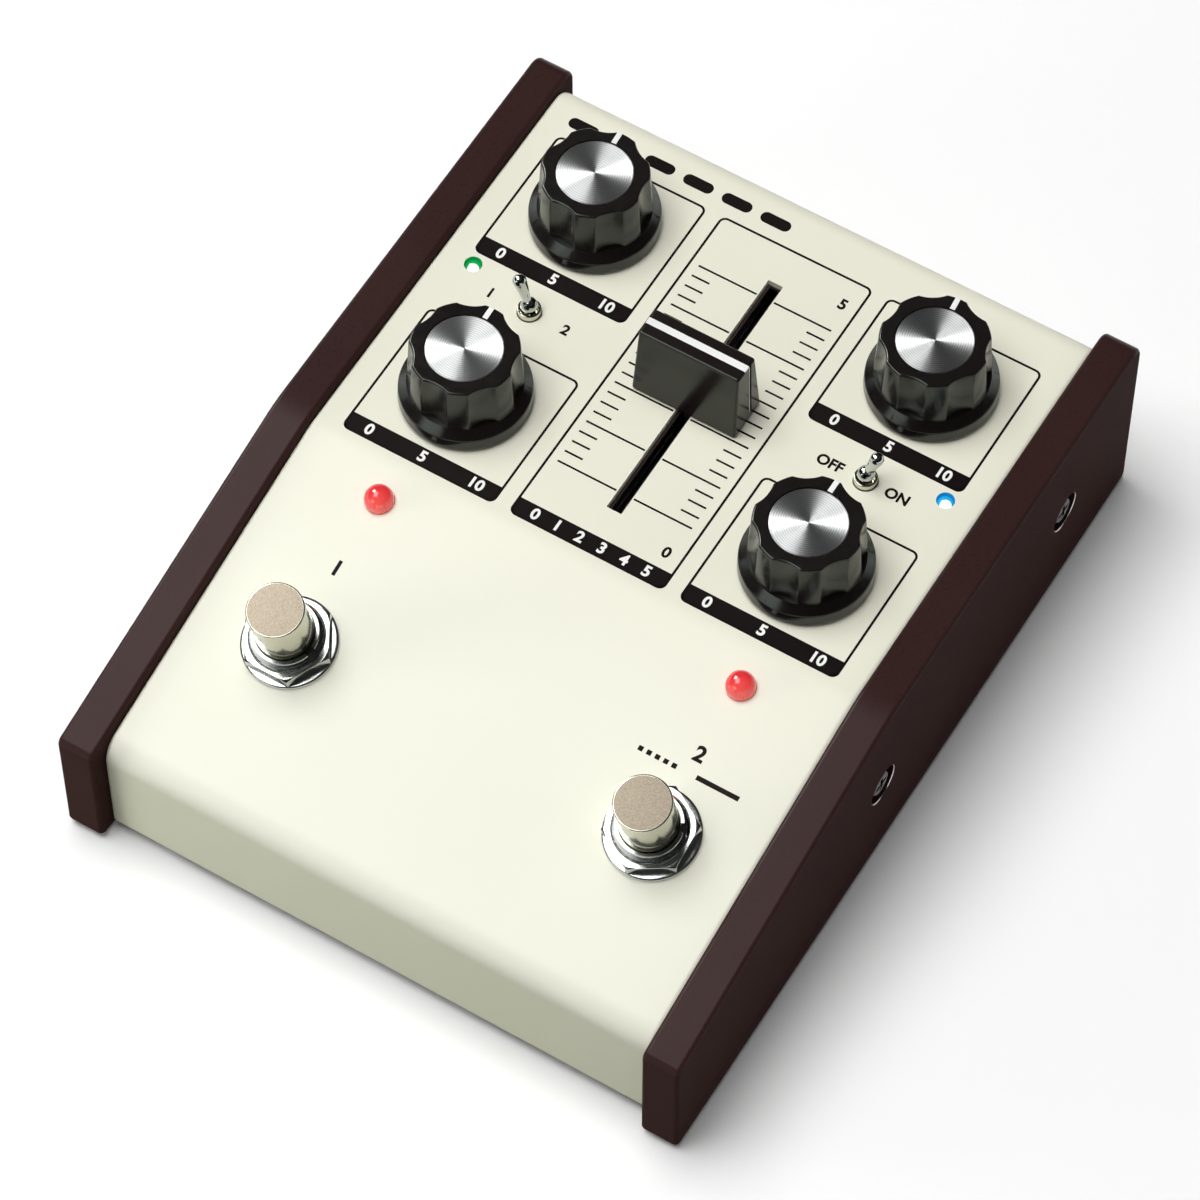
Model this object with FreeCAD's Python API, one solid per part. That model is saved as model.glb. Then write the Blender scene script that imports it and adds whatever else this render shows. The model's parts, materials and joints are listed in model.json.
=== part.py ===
import FreeCAD, Part
import math
import os

# Delay pedal: a folded case between two cheeks, with four knobs, a slide fader, two toggles and two foot
# switches. Lengths are in millimetres. X is to the right, Y to the rear and Z up. The origin is under the
# middle of the cheeks, on the surface that the rubber feet stand on.

# Cheeks
cheek_depth = 149.1
cheek_height = 39.6
cheek_nose_height = 25.6
cheek_thickness = 6.8
cheek_nose_radius = 1.5
cheek_fold_radius = 25.0
cheek_heel_radius = 3.0
cheek_bottom_radius = 1.4
cheek_edge_round = 0.8
foot_drop = 0.9

# Case
shell_width = 102.6
sheet = 1.2
fold_from_front = 66.0
front_wall_inset = 3.0
rear_wall_inset = 2.6
shell_lift = 2.3
panel_drop = 1.4
front_panel_angle = 12.4
front_edge_radius = 5.0
fold_radius = 10.0
rear_edge_radius = 4.0
side_edge_round = 0.9
flange_width = 9.0
plate_gap = 0.2

# Places of the controls: the front row from the fold, the rear row from the rear of the cheeks, the fader
# and the toggles from the middle between the rows, and the small lamps from the toggles
knob_x = 32.2
front_knob_back = 17.5
rear_knob_from_rear = 24.8
fader_ahead_of_middle = 0.9
toggle_x = 32.0
small_led_x = 45.0
small_led_behind_toggle = 3.4

# Places on the sloping front panel, as distances down the slope from the fold
foot_switch_x = 34.0
foot_switch_down = 34.4
red_led_x = 34.0
red_led_down = 6.4

# Boards
board_depth = 11.0
board_thickness = 1.6
board_half_width = 49.0
board_front_lead = 12.0
board_rear_gap = 4.3
foot_board_half_width = 45.0
foot_board_length = 19.0

# Rotary controls
pot_side = 16.5
pot_bush_radius = 3.5
pot_bush_height = 3.0
shaft_radius = 3.0
shaft_top = 12.0
shaft_depth = 8.0
shaft_flat = 1.5
shaft_flat_below_knob_bore = 0.3
running_fit = 0.05
panel_hole_fit = 0.1
pot_washer_radius = 5.5
pot_washer_thickness = 0.4
pot_nut_flats = 10.0
pot_nut_height = 2.0

# Knobs
knob_under = 0.9
knob_skirt_radius = 11.2
knob_skirt_draft = 0.1
knob_skirt_top = 3.3
knob_body_from = 4.6
knob_lobe_radius = 9.7
knob_lobe_draft = 0.5
knob_flute_depth = 0.8
knob_flute_degrees = 30.0
knob_flutes = 7
knob_flute_turn_degrees = {"rear_left": -8.5, "front_left": -3.0, "rear_right": 1.0, "front_right": 6.0}
knob_rest_degrees = {"rear_left": 3.5, "front_left": 2.0, "rear_right": 5.0, "front_right": 0.0}
knob_top = 14.0
knob_top_chamfer = 0.4
knob_recess_radius = 7.2
knob_recess_top = 4.2
knob_disc_radius = 6.45
knob_disc_thickness = 0.5
knob_disc_sunk = 0.1
pointer_width = 0.9
pointer_depth = 0.4
inlay_fit = 0.02

# Slide fader
fader_travel = 45.0
fader_slot_width = 2.8
fader_slot_length = 52.0
fader_frame_length = 60.0
fader_frame_width = 9.0
fader_frame_height = 7.0
fader_frame_wall = 0.8
fader_lever_width = 6.0
fader_lever_thickness = 1.2
fader_lever_into_cap = 9.0
carriage_length = 8.5
carriage_height = 4.0
slide_gap = 0.3
seal_thickness = 0.6
seal_margin = 3.0
cap_under = 0.6
cap_top = 15.0
cap_base_half_length = 9.8
cap_top_half_length = 9.4
cap_base_half_width = 4.2
cap_top_front = 2.85
cap_top_rear = 2.6
cap_edge_round = 0.3
cap_line_width = 1.3
cap_line_depth = 0.4
cap_groove_width = 0.5
cap_groove_depth = 0.3
cap_groove_back = 0.7
cap_groove_from = 3.0

# Toggles
toggle_hole_radius = 2.15
toggle_bush_radius = 2.0
toggle_bush_bore = 1.55
toggle_bush_rise = 1.25
toggle_bush_depth = 2.2
toggle_body_width = 6.6
toggle_body_depth = 5.0
toggle_body_gap = 1.8
toggle_ball_radius = 1.47
toggle_ball_height = 2.05
toggle_stem_radius = 0.6
toggle_stem_depth = 2.4
toggle_neck_radius = 0.75
toggle_tip_radius = 1.175
toggle_tip_height = 6.0
toggle_lean_degrees = 17.4

# Lamps
small_led_radius = 1.5
small_led_sunk = 0.3
small_led_length = 5.0
small_led_flange = 1.9
red_led_radius = 2.5
red_led_rise = 0.6
red_led_length = 5.6
red_led_flange = 2.9
led_flange_height = 1.0
led_hole_fit = 0.05
led_lead_radius = 0.25
led_lead_pitch = 2.54

# Foot switches
foot_button_radius = 4.85
foot_button_top = 15.0
foot_button_tail = 6.0
foot_button_edge = 0.25
foot_button_travel = 3.0
foot_button_spare = 1.0
foot_bush_radius = 6.0
foot_bush_height = 5.2
foot_button_fit = 0.08
foot_key_width = 1.5
foot_key_depth = 0.7
foot_nut_flats = 13.8
foot_nut_height = 2.4
foot_nut_chamfer = 0.5
foot_nut_degrees = {"left": 0.0, "right": 30.0}
foot_key_degrees = {"left": -10.0, "right": 20.0}
foot_washer_radius = 8.1
foot_washer_thickness = 0.8
foot_body_width = 17.0
foot_body_length = 14.0
foot_body_height = 20.0

# Sockets in the rear wall
jack_x = 30.0
jack_bore = 3.25
jack_bore_length = 28.0
jack_bush_radius = 4.5
jack_bush_out = 2.4
jack_nut_flats = 12.0
jack_nut_height = 1.8
jack_width = 18.0
jack_height = 14.0
jack_depth = 27.0
power_nose_radius = 4.5
power_bore = 3.0
power_bore_length = 10.0
power_pin_radius = 1.05
power_pin_sunk = 1.5
power_width = 10.0
power_height = 11.0
power_depth = 13.0

# Fasteners and feet
screw_radius = 1.5
screw_hole_fit = 0.1
thread_fit = 0.05
screw_head_radius = 2.9
screw_head_height = 1.9
screw_head_side_height = 0.95
screw_head_top_radius = 2.1
cross_width = 0.8
cross_length = 3.4
cross_tip_length = 0.5
cross_depth = 1.1
cheek_screw_recess_radius = 3.6
cheek_screw_recess_depth = 2.2
cheek_screw_up = 20.0
cheek_front_screw_back = 64.5
cheek_rear_screw_back = 125.2
cheek_screw_length = 8.5
cheek_nut_flats = 5.5
cheek_nut_height = 2.4
bottom_screw_x = 40.0
bottom_screw_length = 5.0
rubber_foot_radius = 6.0
rubber_foot_taper = 0.6
rubber_foot_x = 41.0
rubber_foot_from_front = 22.0
rubber_foot_from_rear = 21.0

# Parts on the boards
chip_size = (10.0, 6.0, 1.8)
chip_places = ((-24.0, 19.0), (0.0, 22.0), (24.0, 19.0))
capacitor_radius = 3.0
capacitor_height = 5.0
capacitors_ahead_of_jacks = ((-12.0, 10.3), (12.0, 10.3), (-38.0, 14.3), (38.0, 14.3))
ribbon_half_width = 6.0
ribbon_thickness = 0.9
ribbon_bend_radius = 3.0
ribbon_start_down = 27.0
ribbon_rise = 5.0
ribbon_end_inset = 6.0

# How far a cut runs past the face that it opens, and how near to zero counts as zero
cut_over = 1.0
near_zero = 1e-6

# Worked-out places
front_y = -cheek_depth / 2
fold_y = front_y + fold_from_front
shell_front_y = front_y + front_wall_inset
shell_rear_y = cheek_depth / 2 - rear_wall_inset
case_half_width = shell_width / 2
overall_half_width = case_half_width + cheek_thickness
shell_bottom_z = foot_drop + shell_lift
panel_z = foot_drop + cheek_height - panel_drop
panel_under_z = panel_z - sheet
board_top_z = panel_under_z - board_depth
board_under_z = board_top_z - board_thickness
plate_top_z = shell_bottom_z + sheet
slope = math.radians(front_panel_angle)
front_knob_y = fold_y + front_knob_back
rear_knob_y = cheek_depth / 2 - rear_knob_from_rear
fader_y = (front_knob_y + rear_knob_y) / 2 - fader_ahead_of_middle
small_led_y = fader_y + small_led_behind_toggle
jack_front_y = shell_rear_y - sheet - jack_depth
jack_z = board_under_z - jack_height / 2
power_z = board_under_z - power_height / 2
knob_places = {
    "rear_left": (-knob_x, rear_knob_y),
    "front_left": (-knob_x, front_knob_y),
    "rear_right": (knob_x, rear_knob_y),
    "front_right": (knob_x, front_knob_y),
}
sides = {"left": -1, "right": 1}
x_axis = FreeCAD.Vector(1, 0, 0)
y_axis = FreeCAD.Vector(0, 1, 0)
z_axis = FreeCAD.Vector(0, 0, 1)


def vector(x, y, z):
    return FreeCAD.Vector(x, y, z)


def box(x0, x1, y0, y1, z0, z1):
    return Part.makeBox(x1 - x0, y1 - y0, z1 - z0, vector(x0, y0, z0))


def rod(radius, z0, z1, x=0.0, y=0.0):
    return Part.makeCylinder(radius, z1 - z0, vector(x, y, z0), z_axis)


def rod_y(radius, y0, y1, x, z):
    return Part.makeCylinder(radius, y1 - y0, vector(x, y0, z), y_axis)


def taper(radius0, radius1, z0, z1):
    return Part.makeCone(radius0, radius1, z1 - z0, vector(0, 0, z0), z_axis)


def ball(radius, z):
    return Part.makeSphere(radius, vector(0, 0, z))


def tube(outer, inner, z0, z1):
    return rod(outer, z0, z1).cut(rod(inner, z0, z1))


def hexagon(flats, z0, z1, turn=0.0):
    corner = flats / math.sqrt(3)
    turns = [math.radians(turn + 60 * i) for i in range(7)]
    points = [vector(corner * math.cos(a), corner * math.sin(a), z0) for a in turns]
    return Part.Face(Part.makePolygon(points)).extrude(vector(0, 0, z1 - z0))


def turned(points):
    """Revolve (radius, height) points about Z."""
    corners = [vector(r, 0, z) for r, z in points]
    face = Part.Face(Part.makePolygon(corners + corners[:1]))
    return face.revolve(vector(0, 0, 0), z_axis, 360)


def moved(shape, x, y, z):
    copy = shape.copy()
    copy.translate(vector(x, y, z))
    return copy


def spun(shape, degrees, axis=z_axis):
    copy = shape.copy()
    copy.rotate(vector(0, 0, 0), axis, degrees)
    return copy


def rounded_face(points, radii):
    """A face in the plane x = 0 from (y, z) corners, each with its radius."""
    starts = []
    edges = []
    corners = [vector(0, y, z) for y, z in points]
    for i, corner in enumerate(corners):
        before = (corners[i - 1] - corner).normalize()
        after = (corners[(i + 1) % len(corners)] - corner).normalize()
        if radii[i] == 0:
            starts.append((corner, corner))
            continue
        half = before.getAngle(after) / 2
        reach = radii[i] / math.tan(half)
        middle = (before + after).normalize()
        centre = corner + middle * (radii[i] / math.sin(half))
        start = corner + before * reach
        end = corner + after * reach
        top = centre - middle * radii[i]
        starts.append((start, end))
        edges.append(Part.Arc(start, top, end).toShape())
    for i, (start, end) in enumerate(starts):
        following = starts[(i + 1) % len(starts)][0]
        edges.append(Part.LineSegment(end, following).toShape())
    return Part.Face(Part.Wire(Part.__sortEdges__(edges)))


def prism_x(points, radii, x0, x1):
    face = rounded_face(points, radii)
    face.translate(vector(x0, 0, 0))
    return face.extrude(vector(x1 - x0, 0, 0))


def on_rear_panel(shape, x, y):
    """Place a shape that was built on the plane z = 0 onto the rear panel."""
    return moved(shape, x, y, panel_z)


def on_front_panel(shape, x, down):
    """Place a shape that was built on the plane z = 0 onto the sloping front panel."""
    leaned = spun(shape, front_panel_angle, x_axis)
    return moved(leaned, x, fold_y - down * math.cos(slope), panel_z - down * math.sin(slope))


def save(name, *solids):
    for solid in solids:
        if not solid.isValid():
            raise ValueError(name + " is not valid")
    if len(solids) == 1 and len(solids[0].Solids) == 1:
        result = solids[0].Solids[0]
    else:
        result = Part.makeCompound([piece for solid in solids for piece in solid.Solids])
    result.exportStep("parts/" + name + ".step")
    print(name, len(result.Solids), round(result.Volume, 1))


# Case

def shell_outline(inset, bottom):
    """The case's side outline, moved in by a wall's thickness, down to a given height."""
    front = shell_front_y + inset
    rear = shell_rear_y - inset
    top = panel_z - inset
    fold = fold_y + inset * (1 / math.cos(slope) - 1) / math.tan(slope)
    nose = top - (fold - front) * math.tan(slope)
    points = [(front, bottom), (front, nose), (fold, top), (rear, top), (rear, bottom)]
    radii = [0, front_edge_radius - inset, fold_radius - inset, rear_edge_radius - inset, 0]
    return points, radii


def bottom_screw_places():
    front = shell_front_y + sheet + flange_width / 2
    rear = shell_rear_y - sheet - flange_width / 2
    return [(side * bottom_screw_x, y) for side in sides.values() for y in (front, rear)]


def cheek_screw_places():
    z = foot_drop + cheek_screw_up
    return [(front_y + back, z) for back in (cheek_front_screw_back, cheek_rear_screw_back)]


def make_shell():
    half = case_half_width
    points, radii = shell_outline(0, shell_bottom_z)
    outer = prism_x(points, radii, -half, half)
    rim = [
        edge for edge in outer.Edges
        if abs(abs(edge.BoundBox.XMin) - half) < near_zero
        and edge.BoundBox.XLength < near_zero
        and edge.BoundBox.ZMax > shell_bottom_z + near_zero
    ]
    outer = outer.makeFillet(side_edge_round, rim)
    points, radii = shell_outline(sheet, shell_bottom_z - sheet)
    shell = outer.cut(prism_x(points, radii, sheet - half, half - sheet))
    inner = half - sheet
    front = shell_front_y + sheet
    rear = shell_rear_y - sheet
    flange_top = plate_top_z + sheet
    shell = shell.fuse(box(-inner, inner, front, front + flange_width, plate_top_z, flange_top))
    shell = shell.fuse(box(-inner, inner, rear - flange_width, rear, plate_top_z, flange_top))
    cuts = [rod(screw_radius + thread_fit, plate_top_z, flange_top, x, y) for x, y in bottom_screw_places()]
    through = 2 * sheet
    for x, y in knob_places.values():
        cuts.append(on_rear_panel(rod(pot_bush_radius + panel_hole_fit, -through, through), x, y))
    slot = box(
        -fader_slot_width / 2, fader_slot_width / 2,
        -fader_slot_length / 2, fader_slot_length / 2,
        -through, through,
    )
    cuts.append(on_rear_panel(slot, 0, fader_y))
    small_hole = small_led_radius + led_hole_fit
    for side in sides.values():
        cuts.append(on_rear_panel(rod(toggle_hole_radius, -through, through), side * toggle_x, fader_y))
        cuts.append(on_rear_panel(rod(small_hole, -through, through), side * small_led_x, small_led_y))
        foot_hole = rod(foot_bush_radius + panel_hole_fit, -through, through)
        cuts.append(on_front_panel(foot_hole, side * foot_switch_x, foot_switch_down))
        red_hole = rod(red_led_radius + led_hole_fit, -through, through)
        cuts.append(on_front_panel(red_hole, side * red_led_x, red_led_down))
        jack_hole = rod_y(
            jack_bush_radius + panel_hole_fit,
            shell_rear_y - through, shell_rear_y + through,
            side * jack_x, jack_z,
        )
        cuts.append(jack_hole)
        for y, z in cheek_screw_places():
            start = vector(side * (half - through), y, z)
            hole = Part.makeCylinder(screw_radius + screw_hole_fit, 2 * through, start, x_axis * side)
            cuts.append(hole)
    power_hole = rod_y(
        power_nose_radius + panel_hole_fit,
        shell_rear_y - through, shell_rear_y + through,
        0, power_z,
    )
    cuts.append(power_hole)
    shell = shell.cut(cuts).removeSplitter()
    save("shell", shell)


def make_bottom_plate():
    inner = case_half_width - sheet - plate_gap
    front = shell_front_y + sheet + plate_gap
    rear = shell_rear_y - sheet - plate_gap
    plate = box(-inner, inner, front, rear, shell_bottom_z, plate_top_z)
    holes = [
        rod(screw_radius + screw_hole_fit, shell_bottom_z - sheet, plate_top_z + sheet, x, y)
        for x, y in bottom_screw_places()
    ]
    save("bottom_plate", plate.cut(holes))


def cross_recess(top):
    """The tapered cross that a screwdriver fits, sunk from a head's top."""
    low = top - cross_depth
    arms = None
    for turn in (0.0, 90.0):
        half = cross_length / 2
        wide = cross_width / 2
        tip = cross_tip_length / 2
        corners = [
            vector(-half, 0, top), vector(half, 0, top),
            vector(tip, 0, low), vector(-tip, 0, low),
        ]
        face = Part.Face(Part.makePolygon(corners + corners[:1]))
        face.translate(vector(0, -wide, 0))
        arm = spun(face.extrude(vector(0, 2 * wide, 0)), turn)
        arms = arm if arms is None else arms.fuse(arm)
    return arms


def screw(length):
    """A pan-head screw along Z with the underside of its head at z = 0."""
    head = turned([
        (0, 0),
        (screw_head_radius, 0),
        (screw_head_radius, screw_head_side_height),
        (screw_head_top_radius, screw_head_height),
        (0, screw_head_height),
    ])
    shank = rod(screw_radius, -length, 0)
    return head.fuse(shank).removeSplitter().cut(cross_recess(screw_head_height))


def make_bottom_screws():
    fastener = spun(screw(bottom_screw_length), 180, x_axis)
    save("bottom_screws", *[moved(fastener, x, y, shell_bottom_z) for x, y in bottom_screw_places()])


def make_rubber_feet():
    top = rubber_foot_radius
    foot = taper(top - rubber_foot_taper, top, 0, shell_bottom_z)
    front = front_y + rubber_foot_from_front
    rear = cheek_depth / 2 - rubber_foot_from_rear
    places = [(side * rubber_foot_x, y) for side in sides.values() for y in (front, rear)]
    save("rubber_feet", *[moved(foot, x, y, 0) for x, y in places])


# Cheeks and their fasteners

def make_cheek(name, side):
    bottom = foot_drop
    rear = cheek_depth / 2
    points = [
        (front_y, bottom),
        (front_y, bottom + cheek_nose_height),
        (fold_y, bottom + cheek_height),
        (rear, bottom + cheek_height),
        (rear, bottom),
    ]
    radii = [
        cheek_bottom_radius, cheek_nose_radius, cheek_fold_radius, cheek_heel_radius, cheek_bottom_radius,
    ]
    cheek = prism_x(points, radii, case_half_width, overall_half_width)
    rims = [edge for edge in cheek.Edges if edge.BoundBox.XLength < near_zero]
    cheek = cheek.makeFillet(cheek_edge_round, rims)
    cuts = []
    hole_length = cheek_thickness + 2 * cut_over
    for y, z in cheek_screw_places():
        start = vector(case_half_width - cut_over, y, z)
        cuts.append(Part.makeCylinder(screw_radius + screw_hole_fit, hole_length, start, x_axis))
        seat = vector(overall_half_width - cheek_screw_recess_depth, y, z)
        cuts.append(Part.makeCylinder(cheek_screw_recess_radius, cheek_thickness, seat, x_axis))
    cheek = cheek.cut(cuts)
    save(name, cheek if side > 0 else mirrored(cheek))


def mirrored(shape):
    """The same shape on the other side of the case."""
    return shape.mirror(vector(0, 0, 0), x_axis)


def make_cheek_fasteners():
    along_x = spun(screw(cheek_screw_length), 90, y_axis)
    nut = hexagon(cheek_nut_flats, 0, cheek_nut_height)
    nut = nut.cut(rod(screw_radius + thread_fit, 0, cheek_nut_height))
    nut_along_x = spun(nut, -90, y_axis)
    seat_x = overall_half_width - cheek_screw_recess_depth
    screws = []
    nuts = []
    for y, z in cheek_screw_places():
        right_screw = moved(along_x, seat_x, y, z)
        right_nut = moved(nut_along_x, case_half_width - sheet, y, z)
        screws += [right_screw, mirrored(right_screw)]
        nuts += [right_nut, mirrored(right_nut)]
    save("cheek_screws", *screws)
    save("cheek_nuts", *nuts)


# Boards

def front_panel_depth_box(half_width, down0, down1, depth0, depth1):
    """A block under the front panel, between two depths below its outer face."""
    return on_front_panel(box(-half_width, half_width, -down1, -down0, -depth1, -depth0), 0, 0)


def slope_point(down, depth):
    """The (y, z) place at a distance down the slope and a depth below the front panel."""
    y = fold_y - down * math.cos(slope) + depth * math.sin(slope)
    z = panel_z - down * math.sin(slope) - depth * math.cos(slope)
    return y, z


def board_front_y():
    return fold_y - board_front_lead


def make_boards():
    rear = shell_rear_y - sheet - board_rear_gap
    board = box(-board_half_width, board_half_width, board_front_y(), rear, board_under_z, board_top_z)
    save("main_board", board)
    parts = []
    wide, deep, high = chip_size
    for x, back in chip_places:
        y = fold_y + back
        chip = box(-wide / 2, wide / 2, -deep / 2, deep / 2, board_under_z - high, board_under_z)
        parts.append(moved(chip, x, y, 0))
    capacitor_bottom = board_under_z - capacitor_height
    for x, ahead in capacitors_ahead_of_jacks:
        parts.append(rod(capacitor_radius, capacitor_bottom, board_under_z, x, jack_front_y - ahead))
    save("board_components", *parts)
    depth = sheet + foot_body_height
    down0 = foot_switch_down - foot_board_length / 2
    down1 = foot_switch_down + foot_board_length / 2
    foot_board = front_panel_depth_box(foot_board_half_width, down0, down1, depth, depth + board_thickness)
    save("foot_board", foot_board)


def make_ribbon_cable():
    """A flat cable that rises square from the foot board and ends square under the main board."""
    depth = sheet + foot_body_height
    start = slope_point(ribbon_start_down, depth)
    first = slope_point(ribbon_start_down, depth - ribbon_rise)
    end_y = board_front_y() + ribbon_end_inset
    second = (end_y, first[1] + (end_y - first[0]) * math.tan(slope))
    end = (end_y, board_under_z)
    path = [vector(0, y, z) for y, z in (start, first, second, end)]
    half = ribbon_thickness / 2
    rails = []
    for offset in (half, -half):
        rail = []
        for i, point in enumerate(path):
            inward = (point - path[i - 1]).normalize() if i > 0 else (path[1] - point).normalize()
            outward = (path[i + 1] - point).normalize() if i < len(path) - 1 else inward
            normal = vector(0, -(inward.z + outward.z), inward.y + outward.y).normalize()
            lean = normal.dot(vector(0, -inward.z, inward.y))
            place = point + normal * (offset / lean)
            rail.append((place.y, place.z))
        rails.append(rail)
    left, right = rails
    bend = ribbon_bend_radius
    points = left + right[::-1]
    radii = [0, bend + half, bend - half, 0, 0, bend + half, bend - half, 0]
    save("ribbon_cable", prism_x(points, radii, -ribbon_half_width, ribbon_half_width))


# Rotary controls and knobs

def d_section(radius, flat, z0, z1):
    """A round bar with one flat towards the front."""
    return rod(radius, z0, z1).cut(box(-radius, radius, -radius - cut_over, -flat, z0, z1))


def pot_pieces():
    """The control's body, washer, nut and shaft on a panel whose top is z = 0."""
    half = pot_side / 2
    body = box(-half, half, -half, half, -sheet - board_depth, -sheet)
    body = body.fuse(rod(pot_bush_radius, -sheet, pot_bush_height))
    bore = rod(shaft_radius + running_fit, -sheet - shaft_depth - running_fit, pot_bush_height)
    body = body.cut(bore)
    clear = pot_bush_radius + panel_hole_fit
    washer = tube(pot_washer_radius, clear, 0, pot_washer_thickness)
    nut_top = pot_washer_thickness + pot_nut_height
    nut = hexagon(pot_nut_flats, pot_washer_thickness, nut_top)
    nut = nut.cut(rod(pot_bush_radius + thread_fit, 0, nut_top))
    flat_from = knob_recess_top - shaft_flat_below_knob_bore
    shaft = rod(shaft_radius, -sheet - shaft_depth, flat_from)
    shaft = shaft.fuse(d_section(shaft_radius, shaft_flat, flat_from, shaft_top))
    return body, washer, nut, shaft.removeSplitter()


def knob_pieces(flute_turn):
    """The knob, its disc and its pointer, with the pointer towards the rear."""
    top_radius = knob_lobe_radius - knob_lobe_draft
    disc_seat = knob_top - knob_disc_sunk - knob_disc_thickness
    disc_room = knob_disc_radius + inlay_fit
    knob = turned([
        (0, knob_recess_top),
        (knob_recess_radius, knob_recess_top),
        (knob_recess_radius, knob_under),
        (knob_skirt_radius, knob_under),
        (knob_skirt_radius - knob_skirt_draft, knob_skirt_top),
        (knob_lobe_radius, knob_body_from),
        (top_radius, knob_top - knob_top_chamfer),
        (top_radius - knob_top_chamfer, knob_top),
        (disc_room, knob_top),
        (disc_room, disc_seat),
        (0, disc_seat),
    ])
    half_angle = math.radians(knob_flute_degrees / 2)
    half_chord = knob_lobe_radius * math.sin(half_angle)
    sagitta = knob_flute_depth - knob_lobe_radius * (1 - math.cos(half_angle))
    cutter_radius = (half_chord ** 2 + sagitta ** 2) / (2 * sagitta)
    centre = knob_lobe_radius - knob_flute_depth + cutter_radius
    height = knob_top - knob_body_from
    lean = math.degrees(math.atan(knob_lobe_draft / height))
    cutter = spun(Part.makeCylinder(cutter_radius, 2 * height), -lean, y_axis)
    cutter = moved(cutter, centre, 0, knob_body_from)
    pitch = 360 / knob_flutes
    first = 90 + flute_turn + pitch / 2
    knob = knob.cut([spun(cutter, first + pitch * i) for i in range(knob_flutes)])
    bore_top = shaft_top + running_fit
    bore = d_section(shaft_radius + running_fit, shaft_flat + running_fit, knob_recess_top, bore_top)
    knob = knob.cut(bore)
    disc = rod(knob_disc_radius, disc_seat, knob_top - knob_disc_sunk)
    half = pointer_width / 2
    groove_end = top_radius - knob_top_chamfer
    pointer_from = disc_room + inlay_fit
    pointer = box(-half, half, pointer_from, groove_end, knob_top - pointer_depth, knob_top)
    groove = box(
        -half - inlay_fit, half + inlay_fit,
        knob_disc_radius, knob_lobe_radius,
        knob_top - pointer_depth, knob_top + cut_over,
    )
    return knob.cut(groove), disc, pointer


def make_rotary_controls():
    body, washer, nut, shaft = pot_pieces()
    washers = []
    nuts = []
    for name, (x, y) in knob_places.items():
        knob, disc, pointer = knob_pieces(knob_flute_turn_degrees[name])
        turning = {"_pot_shaft": shaft, "_knob": knob, "_knob_disc": disc, "_knob_pointer": pointer}
        for ending, piece in turning.items():
            save(name + ending, on_rear_panel(spun(piece, knob_rest_degrees[name]), x, y))
        save(name + "_pot", on_rear_panel(body, x, y))
        washers.append(on_rear_panel(washer, x, y))
        nuts.append(on_rear_panel(nut, x, y))
    save("pot_washers", *washers)
    save("pot_nuts", *nuts)


# Slide fader

def make_fader_frame():
    bottom = board_top_z
    top = bottom + fader_frame_height
    half_width = fader_frame_width / 2
    half_length = fader_frame_length / 2
    wall = fader_frame_wall
    frame = box(-half_width, half_width, -half_length, half_length, bottom, top)
    room_half_width = half_width - wall
    room_half_length = half_length - wall
    room = box(
        -room_half_width, room_half_width,
        -room_half_length, room_half_length,
        bottom + wall, top - wall,
    )
    opening = fader_slot_width / 2
    run = fader_slot_length / 2
    frame = frame.cut(room).cut(box(-opening, opening, -run, run, top - wall, top))
    save("fader_frame", moved(frame, 0, fader_y, 0))


def make_fader_seal():
    """A slit strip between the frame and the panel, glued under the slot."""
    top = panel_under_z
    half_width = fader_slot_width / 2 + seal_margin
    half_length = fader_slot_length / 2 + seal_margin
    seal = box(-half_width, half_width, -half_length, half_length, top - seal_thickness, top)
    slit = fader_lever_thickness / 2 + slide_gap
    run = fader_travel / 2 + fader_lever_width / 2 + slide_gap
    seal = seal.cut(box(-slit, slit, -run, run, top - seal_thickness, top))
    save("fader_seal", moved(seal, 0, fader_y, 0))


def make_fader_lever():
    floor = board_top_z + fader_frame_wall + slide_gap
    half_room = fader_frame_width / 2 - fader_frame_wall - slide_gap
    half_length = carriage_length / 2
    carriage = box(-half_room, half_room, -half_length, half_length, floor, floor + carriage_height)
    half_thick = fader_lever_thickness / 2
    half_wide = fader_lever_width / 2
    tongue_top = panel_z + cap_under + fader_lever_into_cap
    tongue = box(-half_thick, half_thick, -half_wide, half_wide, floor, tongue_top)
    save("fader_lever", moved(carriage.fuse(tongue).removeSplitter(), 0, fader_y, 0))


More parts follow.
